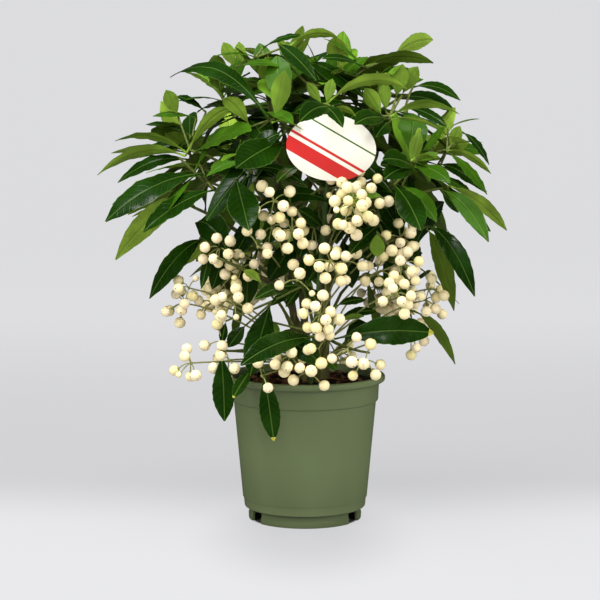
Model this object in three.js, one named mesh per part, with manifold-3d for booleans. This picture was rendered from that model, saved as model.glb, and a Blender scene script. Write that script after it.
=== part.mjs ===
// Potted coralberry with cream berries, in millimetres, +Z up, the front towards -Y.
// The origin is on the ground under the middle of the pot.
import * as THREE from "three";
import { mergeVertices } from "three/addons/utils/BufferGeometryUtils.js";
import Module from "manifold-3d";

const wasm = await Module();
wasm.setup();

const CLEAR = 0.3; // gap between two solids that touch on the real plant
const SLIVER = 0.02; // edges that cutting leaves shorter than this are taken out
const TINY = 1e-4; // vertices nearer than this are one
const GOLDEN_TURN = 137.5; // degrees from one leaf to the next round a shoot
const UP = new THREE.Vector3(0, 0, 1);
const SEED = { leaves: 5019, fruit: 9000 }; // added to a shoot's own number

// Nursery pot: radii and heights of its steps, from the ground up.
const POT = {
  facets: 32,
  height: 118,
  rim: 65,
  bead: 4.4,
  mouth: 60,
  collarTop: 60,
  collarFoot: 59.2,
  collarZ: 97.3,
  bodyTop: 57.8,
  bodyFoot: 50.6,
  bodyZ: 18.2,
  cove: 4, // the wall meets the floor in a slope this high
  band: 49,
  bandZ: 10,
  foot: 46,
  footWall: 3,
  wall: 1.8,
  notches: 3,
  notchWidth: 15,
  notchHeight: 8,
};
const SOIL_TOP = POT.height - 6;

// Main stems: turns are degrees from the front, positive to the right.
const STEM = {
  turns: [-70, 34, 112, -158],
  footOut: 8.5,
  footAside: 8, // the stems leave the soil this far to the right of the middle
  footUnder: 2, // they are drawn from this far under the soil, then cut level
  bendOut: 20,
  tipOut: 27,
  bendZ: 215,
  tipZ: [322, 320, 328, 332],
  footRadius: 3.3,
  tipRadius: 2.2,
  flare: 0.45,
  flareHeight: 7,
  sides: 8,
  steps: 8,
};

// Side branches, tapering from the stem to where their foliage starts.
const BOUGH = { footRadius: 2.4, tipRadius: 1.6, sides: 5, steps: 3 };
const TWIG = { footRadius: 1.6, tipRadius: 0.9, sides: 4, steps: 2 };

// Tiers of shoots, from the top of the crown down. Turns and tilts are degrees, tilt from upright.
// Every other shoot of a tier stands higher by its stagger, and those between lower.
// Attach is where on its stem a branch leaves, from the foot at 0 to the tip at 1.
// The crown's shoots go straight on from the stems, so they need no place of their own.
const TIERS = [
  {
    name: "crown", count: 4, tilt: 14,
    leafy: 32, bare: false, leaves: 12, leaf: 78, openTip: 14, openFoot: 92, sag: 0.95, umbels: 0,
  },
  {
    name: "top", count: 5, first: 56, out: 68, z: 344, stagger: 0, jitter: 7, tilt: 28,
    attach: [0.74, 0.92],
    leafy: 32, bare: true, leaves: 12, leaf: 80, openTip: 18, openFoot: 98, sag: 1, umbels: 0,
  },
  {
    name: "shoulder", count: 9, first: 15, out: 108, z: 300, stagger: 0, jitter: 7, tilt: 44,
    attach: [0.56, 0.74],
    leafy: 34, bare: true, leaves: 12, leaf: 84, openTip: 22, openFoot: 104, sag: 1, umbels: 0,
  },
  {
    name: "skirt", count: 6, first: 22, out: 98, z: 240, stagger: 22, jitter: 8, tilt: 70,
    attach: [0.34, 0.5],
    leafy: 34, bare: true, leaves: 8, leaf: 82, openTip: 30, openFoot: 98, sag: 1.1, umbels: 3,
  },
  {
    name: "berry", count: 6, first: -6, out: 64, z: 172, stagger: 24, jitter: 8, tilt: 92,
    attach: [0.1, 0.26],
    leafy: 30, bare: false, leaves: 3, leaf: 66, openTip: 40, openFoot: 92, sag: 1.1, umbels: 3,
  },
];
// How the shoots of a tier differ, and the leaves of a shoot: pairs are a lowest and a highest share.
const HABIT = {
  attachStep: 0.618, // from one branch's start to the next, as a share of the tier's stretch of stem
  turnSpread: 30, // degrees
  rollSpread: 44, // degrees
  length: [0.88, 1.12],
  sag: [0.7, 1.3],
  youngSag: 0.45,
  feet: [0.06, 0.88], // of the leafy stretch, from its tip
  faceUp: 0.8, // how much a leaf turns its upper side to the sky, and back over its shoot
  faceBack: 0.6,
};
const CROWN = { reach: 161, top: 398, lowest: 66, lean: 5 }; // it leans this far to the front

// One leaf, as shares of its length.
const LEAF = {
  halfWidth: 0.17,
  keel: 0.016,
  stalk: 0.012,
  stations: [0.04, 0.42, 0.74],
  widths: [0.07, 1, 0.72],
  young: 0.56,
  stiff: 0.2,
  sizes: [1, 0.82, 0.66],
};

// One head of fruit: a stalk from the twig, then short stalks that each end in a berry.
const FRUIT = {
  berries: 3,
  radius: 4.7,
  sides: 4,
  feet: [0.1, 0.7], // of the leafy stretch, from its foot
  swing: 62, // degrees either side of the shoot
  swingSpread: 24,
  stalkReach: 32,
  reaches: [0.75, 1.25],
  stalkBend: 0.55,
  stalkLift: 7,
  drops: [4, 22],
  stalkRadius: 0.9,
  hubRadius: 2.1,
  ray: 12.5,
  rayRadius: 0.5,
  spread: 105,
};

// Oval name card, blank, on a flat stick that stands in the soil.
const LABEL = {
  turn: 12.2,
  out: 92,
  z: 303,
  width: 68,
  height: 50,
  thickness: 0.9,
  roll: 6,
  stickWidth: 4,
  stickBehind: 0.8,
  stickTop: 0.2, // of the card's height, over its middle
  footOut: 22,
};

const FINISH = {
  pot: new THREE.MeshStandardMaterial({ color: 0x62734c, roughness: 0.5, metalness: 0 }),
  soil: new THREE.MeshStandardMaterial({ color: 0x2a1a12, roughness: 1, metalness: 0 }),
  wood: new THREE.MeshStandardMaterial({ color: 0x5d5226, roughness: 0.8, metalness: 0 }),
  foliage: new THREE.MeshStandardMaterial({
    color: 0x2f5c1c, roughness: 0.4, metalness: 0, flatShading: true,
  }),
  label: new THREE.MeshStandardMaterial({ color: 0xefe6d2, roughness: 0.5, metalness: 0 }),
};

// A repeatable stream of numbers from 0 to 1.
function draws(seed) {
  let state = seed;
  const next = () => {
    state = (state * 48271) % 2147483647;
    return state / 2147483647;
  };
  for (let i = 0; i < 4; i++) next();
  return next;
}

const radians = THREE.MathUtils.degToRad;
const mix = THREE.MathUtils.lerp;

// The level direction at a turn from the front, and a point that far out at a height.
function outward(turn) {
  return new THREE.Vector3(Math.sin(radians(turn)), -Math.cos(radians(turn)), 0);
}

function place(turn, out, z) {
  return outward(turn).multiplyScalar(out).setZ(z);
}

// A closed geometry as a solid, facing out.
function solidOf(geometry) {
  const bare = new THREE.BufferGeometry();
  bare.setAttribute("position", geometry.getAttribute("position"));
  if (geometry.index) bare.setIndex(geometry.index);
  const merged = mergeVertices(bare, TINY);
  const mesh = new wasm.Mesh({
    numProp: 3,
    vertProperties: merged.attributes.position.array,
    triVerts: new Uint32Array(merged.index.array),
  });
  return new wasm.Manifold(mesh);
}

// The largest body of a solid, without the loose scraps and slivers that cutting leaves.
function largest(solid) {
  return solid.decompose().reduce((a, b) => (b.volume() > a.volume() ? b : a)).simplify(SLIVER);
}

function meshOf(name, solid, material) {
  const { vertProperties, triVerts } = solid.getMesh();
  const geometry = new THREE.BufferGeometry();
  geometry.setAttribute("position", new THREE.BufferAttribute(vertProperties, 3));
  geometry.setIndex(new THREE.BufferAttribute(triVerts, 1));
  geometry.computeVertexNormals();
  const mesh = new THREE.Mesh(geometry, material);
  mesh.name = name;
  return mesh;
}

// Moves each vertex of a geometry to where the rule puts it.
function reshape(geometry, rule) {
  const position = geometry.getAttribute("position");
  const vertex = new THREE.Vector3();
  for (let i = 0; i < position.count; i++) {
    const moved = rule(vertex.fromBufferAttribute(position, i));
    position.setXYZ(i, moved.x, moved.y, moved.z);
  }
  return geometry;
}

// A limb along a stretch of a curve: a cylinder bent to it, with a radius for each place.
function limb(curve, from, to, radiusAt, sides, steps) {
  const side = new THREE.Vector3().crossVectors(UP, curve.getPoint(1).sub(curve.getPoint(0)));
  if (side.lengthSq() < TINY) side.set(1, 0, 0);
  side.normalize();
  const rule = (v) => {
    const t = mix(from, to, v.y + 0.5);
    const along = curve.getTangent(t);
    const across = side.clone().addScaledVector(along, -side.dot(along)).normalize();
    const over = new THREE.Vector3().crossVectors(across, along);
    const radius = radiusAt(t);
    return curve.getPoint(t).addScaledVector(across, v.x * radius).addScaledVector(over, v.z * radius);
  };
  return solidOf(reshape(new THREE.CylinderGeometry(1, 1, 1, sides, steps), rule));
}

function turned(profile, facets) {
  const points = profile.map(([r, z]) => new THREE.Vector2(r, z));
  return solidOf(new THREE.LatheGeometry(points, facets).rotateX(Math.PI / 2));
}

// The pot: a tapered body between a stepped foot and a collar, with a beaded rim.
function potSolid() {
  const beadZ = POT.height - POT.bead;
  const floorZ = POT.bandZ + POT.wall;
  const profile = [
    [0, POT.bandZ],
    [POT.foot - POT.footWall, POT.bandZ],
    [POT.foot - POT.footWall, 0],
    [POT.foot, 0],
    [POT.foot, POT.bandZ],
    [POT.band, POT.bandZ],
    [POT.band + 0.8, POT.bodyZ - 1],
    [POT.bodyFoot, POT.bodyZ],
    [POT.bodyTop, POT.collarZ],
    [POT.collarFoot, POT.collarZ + 0.3],
    [POT.collarTop, beadZ - 1.5],
    [POT.rim - 1.2, beadZ - 0.4],
    [POT.rim, beadZ + 1],
    [POT.rim, POT.height - 1.2],
    [POT.rim - 1.5, POT.height],
    [POT.mouth, POT.height],
    [POT.collarTop - POT.wall, beadZ - 1.5],
    [POT.bodyTop - POT.wall, POT.collarZ],
    [POT.bodyFoot - POT.wall, floorZ + POT.cove],
    [POT.foot - POT.wall, floorZ],
    [0, floorZ],
  ];
  const notches = [];
  for (let i = 0; i < POT.notches; i++) {
    const block = new THREE.BoxGeometry(POT.notchWidth, 20, POT.notchHeight * 2);
    const turn = 180 + (i * 360) / POT.notches;
    block.rotateZ(radians(turn)).translate(...place(turn, POT.foot, 0).toArray());
    notches.push(solidOf(block));
  }
  return turned(profile, POT.facets).subtract(wasm.Manifold.union(notches));
}

// The soil fills the pot and is flat on top.
function soilSolid() {
  const side = POT.wall + CLEAR;
  const floorZ = POT.bandZ + POT.wall;
  const level = (SOIL_TOP - POT.collarZ) / (POT.height - POT.bead - 1.5 - POT.collarZ);
  const profile = [
    [0, floorZ + CLEAR],
    [POT.foot - side - 0.5, floorZ + CLEAR],
    [POT.bodyFoot - side, floorZ + POT.cove],
    [POT.bodyTop - side, POT.collarZ],
    [mix(POT.bodyTop, POT.collarTop, level) - side, SOIL_TOP],
    [0, SOIL_TOP],
  ];
  return turned(profile, POT.facets);
}

// The card stands upright and faces the front; its stick runs up behind it out of the soil.
function labelSolid() {
  const foot = place(LABEL.turn, LABEL.footOut, SOIL_TOP + CLEAR + LABEL.stickWidth / 3);
  const card = place(LABEL.turn, LABEL.out, LABEL.z);
  const oval = new THREE.Shape();
  oval.absellipse(0, 0, LABEL.width / 2, LABEL.height / 2, 0, Math.PI * 2);
  const blank = new THREE.ExtrudeGeometry(oval, {
    depth: LABEL.thickness, bevelEnabled: false, curveSegments: 14,
  });
  blank.rotateZ(radians(-LABEL.roll)).rotateX(Math.PI / 2).translate(...card.toArray());
  const top = card.clone().add(new THREE.Vector3(0, LABEL.stickBehind, LABEL.height * LABEL.stickTop));
  const stick = limb(new THREE.LineCurve3(foot, top), 0, 1, () => LABEL.stickWidth / 2, 4, 1);
  return solidOf(blank).add(stick);
}

function stemCurve(turn, tipZ) {
  const aside = new THREE.Vector3(STEM.footAside, 0, 0);
  return new THREE.QuadraticBezierCurve3(
    place(turn, STEM.footOut, SOIL_TOP - STEM.footUnder).add(aside),
    place(turn, STEM.bendOut, STEM.bendZ),
    place(turn, STEM.tipOut, tipZ),
  );
}

// A stem thins towards its tip and flares into its roots at the soil.
function stemRadius(curve, extra = 0) {
  return (t) => {
    const height = curve.getPoint(t).z - SOIL_TOP;
    const flare = STEM.flare * Math.exp(-height / STEM.flareHeight);
    return mix(STEM.footRadius, STEM.tipRadius, t) * (1 + flare) + extra;
  };
}

// A stem is cut level where it stands on the soil.
function stemSolid(curve) {
  const whole = limb(curve, 0, 1, stemRadius(curve), STEM.sides, STEM.steps);
  return whole.trimByPlane([0, 0, 1], SOIL_TOP + CLEAR);
}

// The stem whose turn is nearest to a shoot's.
function nearestStem(stems, turn) {
  const apart = (stem) => Math.abs(((turn - stem.turn + 540) % 360) - 180);
  return stems.reduce((a, b) => (apart(b) < apart(a) ? b : a));
}

// The direction at a turn from the front and a tilt from upright.
function leaning(turn, tilt) {
  return outward(turn).multiplyScalar(Math.sin(radians(tilt))).setZ(Math.cos(radians(tilt)));
}

// A shoot that goes straight on from its stem's tip, leafy all along.
function crownShoot(tier, stem) {
  const along = stem.curve.getTangent(1);
  const start = stem.curve.getPoint(1).addScaledVector(along, CLEAR);
  const bend = start.clone().addScaledVector(along, tier.leafy / 2);
  const tip = bend.clone().addScaledVector(leaning(stem.turn, tier.tilt), tier.leafy / 2);
  return { turn: stem.turn, curve: new THREE.QuadraticBezierCurve3(start, bend, tip), leafy: 0, stem };
}

// A branch from the nearest stem to its place in the tier, bare up to its leafy share.
function sideShoot(tier, index, random, stems) {
  const turn = tier.first + (index * 360) / tier.count + (random() - 0.5) * tier.jitter;
  const out = tier.out + (random() - 0.5) * tier.jitter;
  const z = tier.z + (index % 2 ? -tier.stagger : tier.stagger);
  const tip = place(turn, out, z + (random() - 0.5) * 2 * tier.jitter);
  tip.y -= CROWN.lean;
  const stem = nearestStem(stems, turn);
  const start = stem.curve.getPoint(mix(...tier.attach, (index * HABIT.attachStep) % 1));
  const bend = tip.clone().addScaledVector(leaning(turn, tier.tilt), -0.5 * tip.distanceTo(start));
  const curve = new THREE.QuadraticBezierCurve3(start, bend, tip);
  return { turn, curve, leafy: 1 - tier.leafy / curve.getLength(), stem };
}

// Every shoot with its name and seed, in the order of the tiers.
function shootPaths(stems) {
  const shoots = [];
  for (const [rank, tier] of TIERS.entries()) {
    for (let i = 0; i < tier.count; i++) {
      const seed = 100 * (rank + 1) + i;
      if (tier.name === "shoulder" && i === 0) continue; // the card stands in this place
      const shoot = tier.name === "crown"
        ? crownShoot(tier, stems[i])
        : sideShoot(tier, i, draws(seed), stems);
      shoots.push({ name: `${tier.name}_${i + 1}`, seed, tier, ...shoot });
    }
  }
  return shoots;
}

// A branch is cut clear of its stem, and keeps only the part outside it.
function clearOfStem(solid, { curve }) {
  const room = limb(curve, 0, 1, stemRadius(curve, CLEAR), STEM.sides, STEM.steps);
  return largest(solid.subtract(room));
}

function boughSolid({ curve, leafy, stem }) {
  const radiusAt = (t) => mix(BOUGH.footRadius, BOUGH.tipRadius, t / leafy);
  return clearOfStem(limb(curve, 0, leafy, radiusAt, BOUGH.sides, BOUGH.steps), stem);
}

// The twig that carries the foliage goes on from the bough, or from the stem where there is none.
function twigSolid({ tier, curve, leafy, stem }) {
  const from = tier.bare ? leafy + CLEAR / curve.getLength() : 0;
  const radiusAt = (t) => mix(TWIG.footRadius, TWIG.tipRadius, (t - from) / (1 - from));
  const twig = limb(curve, from, 1, radiusAt, TWIG.sides, TWIG.steps);
  return tier.name === "berry" ? clearOfStem(twig, stem) : twig;
}

// How long a leaf can grow before its tip would leave the crown.
function roomFor(foot, aim, sag) {
  const sideways = Math.hypot(aim.x, aim.y);
  const rise = Math.max(aim.z - 0.5 * sag, 0.01);
  return Math.min((CROWN.reach - Math.hypot(foot.x, foot.y)) / sideways, (CROWN.top - foot.z) / rise);
}

// The leaves of a shoot, oldest and lowest first, each turned on from the last.
function leavesOf(shoot) {
  const { tier, curve, leafy } = shoot;
  const random = draws(shoot.seed + SEED.leaves);
  const heading = curve.getTangent(1);
  const side = new THREE.Vector3().crossVectors(UP, heading).normalize();
  const over = new THREE.Vector3().crossVectors(heading, side);
  const phase = random() * 360;
  const leaves = [];
  for (let i = 0; i < tier.leaves; i++) {
    const age = 1 - i / (tier.leaves - 1);
    const turn = radians(phase + i * GOLDEN_TURN + (random() - 0.5) * HABIT.turnSpread);
    const open = radians(mix(tier.openTip, tier.openFoot, age));
    const away = side.clone().multiplyScalar(Math.cos(turn)).addScaledVector(over, Math.sin(turn));
    const aim = heading.clone().multiplyScalar(Math.cos(open)).addScaledVector(away, Math.sin(open));
    const wish = tier.leaf * mix(LEAF.young, 1, Math.sqrt(age)) * mix(...HABIT.length, random());
    const level = THREE.MathUtils.clamp(1 + aim.z, LEAF.stiff, 1);
    const sag = tier.sag * level * mix(HABIT.youngSag, 1, age) * mix(...HABIT.sag, random());
    const roll = radians((random() - 0.5) * HABIT.rollSpread);
    const face = heading.clone().addScaledVector(UP, HABIT.faceUp).addScaledVector(away, -HABIT.faceBack);
    face.addScaledVector(aim, -face.dot(aim)).normalize().applyAxisAngle(aim, roll);
    const foot = curve.getPoint(mix(1, leafy, mix(...HABIT.feet, age)));
    leaves.push({ foot, aim, face, length: Math.min(wish, roomFor(foot, aim, sag)), sag });
  }
  return leaves;
}

// A leaf: a flat pointed blade with a keel, which arches down along its length.
function leafSolid({ foot, aim, face, length, sag }) {
  const across = new THREE.Vector3().crossVectors(aim, face);
  const spine = (s) => foot.clone().addScaledVector(aim, s * length)
    .addScaledVector(UP, -0.5 * sag * s * s * length);
  const rings = LEAF.stations.length + 1;
  const rule = (v) => {
    const ring = Math.round((Math.acos(THREE.MathUtils.clamp(v.y, -1, 1)) / Math.PI) * rings);
    if (ring === 0) return spine(0);
    if (ring === rings) return spine(1);
    const s = LEAF.stations[ring - 1];
    const half = Math.max(LEAF.widths[ring - 1] * LEAF.halfWidth, LEAF.stalk) * length;
    const along = aim.clone().addScaledVector(UP, -sag * s).normalize();
    const normal = new THREE.Vector3().crossVectors(across, along).normalize();
    const point = spine(s);
    if (v.x < -1e-3) return point.addScaledVector(normal, -LEAF.keel * length);
    return point.addScaledVector(across, Math.sign(v.z) * half);
  };
  return solidOf(reshape(new THREE.SphereGeometry(1, 3, rings), rule));
}

// The heads of fruit of a shoot: where each stalk starts, bends and ends.
function umbelsOf(shoot) {
  const { tier, curve, leafy, turn } = shoot;
  const random = draws(shoot.seed + SEED.fruit);
  const umbels = [];
  for (let i = 0; i < tier.umbels; i++) {
    const share = (i + 0.5) / tier.umbels;
    const start = curve.getPoint(mix(leafy, 1, mix(...FRUIT.feet, share)));
    const swing = mix(-FRUIT.swing, FRUIT.swing, share) + (random() - 0.5) * FRUIT.swingSpread;
    const way = outward(turn + swing);
    const reach = FRUIT.stalkReach * mix(...FRUIT.reaches, random());
    const drop = mix(...FRUIT.drops, random());
    const bend = start.clone().addScaledVector(way, reach * FRUIT.stalkBend);
    bend.z += FRUIT.stalkLift;
    const end = start.clone().addScaledVector(way, reach).addScaledVector(UP, -drop);
    umbels.push({ start, bend, end, phase: random() * 360 });
  }
  return umbels;
}

// The berries of one head stand round its end, most of them out and down.
function berryPlaces({ bend, end, phase }, count) {
  const axis = end.clone().sub(bend).normalize();
  const side = new THREE.Vector3().crossVectors(UP, axis).normalize();
  const over = new THREE.Vector3().crossVectors(axis, side);
  const places = [];
  for (let i = 0; i < count; i++) {
    const lean = Math.acos(1 - ((i + 0.5) / count) * (1 - Math.cos(radians(FRUIT.spread))));
    const turn = radians(phase + i * GOLDEN_TURN);
    const way = axis.clone().multiplyScalar(Math.cos(lean))
      .addScaledVector(side, Math.sin(lean) * Math.cos(turn))
      .addScaledVector(over, Math.sin(lean) * Math.sin(turn));
    places.push(end.clone().addScaledVector(way, FRUIT.ray));
  }
  return places;
}

// A berry and its short stalk in one: a sphere whose first rings are drawn out into the stalk.
function berrySolid(hub, centre) {
  const along = centre.clone().sub(hub).normalize();
  const side = new THREE.Vector3().crossVectors(UP, along).normalize();
  const over = new THREE.Vector3().crossVectors(along, side);
  const { radius, ray, rayRadius } = FRUIT;
  // Each ring's distance from the hub, and its radius.
  const stretches = [
    [0, 0],
    [0.05 * ray, rayRadius],
    [ray - 0.96 * radius, rayRadius],
    [ray - 0.42 * radius, radius * 0.97],
    [ray + 0.5 * radius, radius * 0.93],
    [ray + 1.05 * radius, 0],
  ];
  const rings = stretches.length - 1;
  const rule = (v) => {
    const ring = Math.round((Math.acos(THREE.MathUtils.clamp(v.y, -1, 1)) / Math.PI) * rings);
    const [reach, width] = stretches[ring];
    const turn = Math.atan2(v.z, v.x);
    return hub.clone().addScaledVector(along, reach)
      .addScaledVector(over, Math.cos(turn) * width).addScaledVector(side, -Math.sin(turn) * width);
  };
  return solidOf(reshape(new THREE.SphereGeometry(1, FRUIT.sides, rings), rule));
}

function umbelSolid(umbel) {
  const stalk = new THREE.QuadraticBezierCurve3(umbel.start, umbel.bend, umbel.end);
  const hub = new THREE.OctahedronGeometry(FRUIT.hubRadius, 0).translate(...umbel.end.toArray());
  const berries = berryPlaces(umbel, FRUIT.berries).map((centre) => berrySolid(umbel.end, centre));
  return wasm.Manifold.union([limb(stalk, 0, 1, () => FRUIT.stalkRadius, 3, 2), solidOf(hub), ...berries]);
}

function insideCrown(solid) {
  const { min, max } = solid.boundingBox();
  const reach = Math.max(-min[0], max[0], -min[1], max[1]);
  return reach < CROWN.reach + 2 && max[2] < CROWN.top + 2 && min[2] > CROWN.lowest;
}

// Whether two solids keep their gap; most pairs are told apart by their boxes alone.
function clearOf(a, b) {
  const [one, two] = [a.boundingBox(), b.boundingBox()];
  const apart = [0, 1, 2].some((i) => one.min[i] - CLEAR > two.max[i] || two.min[i] - CLEAR > one.max[i]);
  return apart || a.minGap(b, CLEAR * 2) >= CLEAR;
}

// A leaf at its full length, and shorter where there is less room.
function leafSizes(leaf) {
  return LEAF.sizes.map((size) => leafSolid({ ...leaf, length: leaf.length * size }));
}

// The foliage of all shoots grows in rounds, so that each gets its share of the room.
// A leaf or a head of fruit that would touch a limb or another shoot's foliage is skipped.
function growFoliage(shoots, limbs) {
  const masses = shoots.map((shoot) => ({
    name: shoot.name,
    kept: [twigSolid(shoot)],
    buds: [...umbelsOf(shoot).map((umbel) => [umbelSolid(umbel)]), ...leavesOf(shoot).map(leafSizes)],
  }));
  const rounds = Math.max(...masses.map(({ buds }) => buds.length));
  for (let round = 0; round < rounds; round++) {
    for (const mass of masses) {
      const others = masses.filter((other) => other !== mass).flatMap(({ kept }) => kept);
      const fits = (solid) => insideCrown(solid) && [...limbs, ...others].every((o) => clearOf(solid, o));
      const bud = (mass.buds[round] ?? []).find(fits);
      if (bud) mass.kept.push(bud);
    }
  }
  return masses;
}

const plant = new THREE.Group();
const made = [];

function add(name, solid, material) {
  made.push(solid);
  plant.add(meshOf(name, solid, material));
}

add("pot", potSolid(), FINISH.pot);
add("potting_soil", soilSolid(), FINISH.soil);
add("plant_label", labelSolid(), FINISH.label);

const stems = STEM.turns.map((turn, i) => ({ turn, curve: stemCurve(turn, STEM.tipZ[i]) }));
for (const [i, { curve }] of stems.entries()) {
  add(`stem_${i + 1}`, stemSolid(curve), FINISH.wood);
}
const shoots = shootPaths(stems);
for (const shoot of shoots.filter(({ tier }) => tier.bare)) {
  add(`bough_${shoot.name}`, boughSolid(shoot), FINISH.wood);
}
for (const { name, kept } of growFoliage(shoots, made.slice())) {
  add(`foliage_${name}`, largest(wasm.Manifold.union(kept)), FINISH.foliage);
}

export default plant;
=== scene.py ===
# Potted coralberry with cream berries: its looks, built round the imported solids.
# Growth is worked out in millimetres, as the solids are, and meshes are made in metres.
import math

import bmesh
import bpy
import numpy as np
from bpy.props import FloatProperty, FloatVectorProperty, IntProperty, PointerProperty
from bpy.types import Operator, Panel, PropertyGroup
from mathutils import Matrix, Quaternion, Vector


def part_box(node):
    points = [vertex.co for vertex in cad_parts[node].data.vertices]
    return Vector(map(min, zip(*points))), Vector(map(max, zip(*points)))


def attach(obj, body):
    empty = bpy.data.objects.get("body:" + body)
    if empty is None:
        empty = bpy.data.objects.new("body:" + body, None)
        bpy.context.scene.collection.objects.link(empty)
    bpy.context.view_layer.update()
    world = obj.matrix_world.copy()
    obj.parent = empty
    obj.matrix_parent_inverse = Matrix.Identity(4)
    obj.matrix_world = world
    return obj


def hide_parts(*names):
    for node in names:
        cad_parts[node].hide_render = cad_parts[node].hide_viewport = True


bl_info = {
    "name": "Potted Coralberry",
    "version": (1, 0, 0),
    "blender": (4, 5, 0),
    "location": "3D View > Sidebar > Coralberry",
    "description": "Builds a potted coralberry with cream berries",
    "category": "Object",
}

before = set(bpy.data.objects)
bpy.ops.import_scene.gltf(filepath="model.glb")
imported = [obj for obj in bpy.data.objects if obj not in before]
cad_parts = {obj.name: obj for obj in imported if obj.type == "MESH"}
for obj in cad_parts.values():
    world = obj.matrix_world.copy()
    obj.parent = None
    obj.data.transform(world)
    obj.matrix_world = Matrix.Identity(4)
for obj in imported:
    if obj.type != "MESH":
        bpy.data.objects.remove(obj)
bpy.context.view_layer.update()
MM = 0.001
POT_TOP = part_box("pot")[1].z / MM
SOIL_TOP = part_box("potting_soil")[1].z / MM

UP = Vector((0, 0, 1))
FRONT = Vector((0, -1, 0))
GOLDEN_TURN = 137.5  # degrees from one leaf to the next round a shoot
GOLDEN_SHARE = 0.618  # of the way from one branch's foot to the next along a stem
CLEAR = 0.3  # gap between a branch and its foliage

# Main stems: turns are degrees from the front, positive to the right.
STEM_TURNS = (-70, 34, 112, -158)
STEM_TIPS = (322, 320, 328, 332)
STEM_FOOT_OUT = 8.5
STEM_FOOT_ASIDE = 8  # they leave the soil this far to the right of the middle
STEM_FOOT_UNDER = 2  # and start this far under it
STEM_BEND_OUT = 20
STEM_TIP_OUT = 27
STEM_BEND_Z = 215

# Radius of each kind of limb, where it starts and where it ends.
STEM_RADII = (3.3, 2.2)
BOUGH_RADII = (2.2, 1.6)
TWIG_RADII = (1.6, 0.9)
LEAF_STALK_RADII = (1.0, 0.8)
FRUIT_STALK_RADII = (0.85, 0.6)
RAY_RADII = (0.45, 0.55)
STICK_RADII = (2.0, 2.0)
ROOT_FLARE = 0.45  # share that a stem widens by at the soil
ROOT_HEIGHT = 7  # over which most of that fades
# Leaf scars along each kind of limb.
STEM_SCARS = 26
BOUGH_SCARS = 9
TWIG_SCARS = 5
SPRAY_SCARS = 7
# Relief of the bark, in shares of the radius: a furrow's depth, number round the limb and wind.
FURROWS = ((0.05, 3, 5), (0.03, 5, -9))
SCAR_HEIGHT = 0.14
SCAR_WIDTH = 0.13  # as a share of the way from one scar to the next

# Faces of the blanks: sides and steps of a rod, steps along and across a leaf, turns and rings
# of a ball.
STEM_ROD = (14, 64)
BOUGH_ROD = (10, 26)
THIN_ROD = (6, 6)
STALK_ROD = (6, 8)
RAY_ROD = (5, 4)
STICK_ROD = (4, 12)
FRONT_LEAF = (20, 4)
CROWN_LEAF = (12, 2)
SCRAP_LEAF = (10, 2)
BERRY_BALL = (9, 7)
CUP_BALL = (6, 4)

# Tiers of shoots, from the top of the crown down. Turns and tilts are degrees, tilt from upright.
# Attach is where on its stem a branch leaves, from the foot at 0 to the tip at 1.
# Every other shoot of a tier stands higher by its stagger, and those between lower.
# Heads is the number of fruit heads that stand where the solids have theirs; more is what is added.
TIERS = (
    dict(name="crown", count=4, tilt=14, leafy=32, bare=False,
         leaves=12, leaf=78, open_tip=14, open_foot=92, sag=0.95, heads=0, more=0),
    dict(name="top", count=5, first=56, out=68, z=344, stagger=0, jitter=7, tilt=28,
         attach=(0.74, 0.92), leafy=32, bare=True,
         leaves=12, leaf=80, open_tip=18, open_foot=98, sag=1, heads=0, more=0),
    dict(name="shoulder", count=9, first=15, out=108, z=300, stagger=0, jitter=7, tilt=44,
         attach=(0.56, 0.74), leafy=34, bare=True,
         leaves=12, leaf=84, open_tip=22, open_foot=104, sag=1, heads=0, more=0),
    dict(name="skirt", count=6, first=22, out=98, z=240, stagger=22, jitter=8, tilt=70,
         attach=(0.34, 0.5), leafy=34, bare=True,
         leaves=8, leaf=82, open_tip=30, open_foot=98, sag=1.1, heads=3, more=2),
    dict(name="berry", count=6, first=-6, out=64, z=172, stagger=24, jitter=8, tilt=92,
         attach=(0.1, 0.26), leafy=30, bare=False,
         leaves=3, leaf=66, open_tip=40, open_foot=92, sag=1.1, heads=3, more=1),
)
CROWN_REACH = 161
CROWN_TOP = 398
CROWN_LEAN = 5  # it leans this far to the front

# Leaves of a shoot: shares of their full length and sag, and swings in degrees.
YOUNG_LENGTH = 0.56
YOUNG_SAG = 0.45
LENGTH_SHARES = (0.88, 1.12)
SAG_SHARES = (0.7, 1.3)
LEAF_FEET = (0.06, 0.88)  # how far down the leafy end the youngest and the oldest leaf stand
FACE_UP, FACE_IN = 0.8, 0.6  # how much a leaf's upper side faces up, and back over the shoot
TURN_SWING = 30
ROLL_SWING = 44
# The small leaves that close a shoot: their number, and values from the first to the last.
TIP_LEAVES = 4
TIP_OPENINGS = (66, 26)
TIP_LENGTHS = (50, 28)
TIP_LENGTH_SHARES = (0.85, 1.15)
TIP_SAGS = (0.3, 0.8)
TIP_FACE_IN = 0.8
TIP_SPACING = 0.02  # share of the shoot from one to the next
TIP_AGE = -0.2  # all are younger than any other leaf
# A leaf's blade.
EDGE_FROM = 0.9  # share of the half width from which a point is on the edge
BETWEEN_TEETH = 0.95  # share of the half width that is left there
EDGE_LAG = 2.2  # radians from the waves of one edge to those of the other
BLADE_THICK = 0.22
FOOT_THICK = 0.7  # that the stalk is thicker
FOOT_FADE = 0.08  # share of the length over which that fades
RIB_DEPTH = 0.4
LEAF_SIZES = (1, 0.82, 0.66, 0.5)  # tried in turn, until a leaf fits
OUTSIDE_SHARE = 0.05  # of a leaf's points may be seen outside the outline
HIDING_SHARE = 0.1  # of them may hide the measured front

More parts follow.
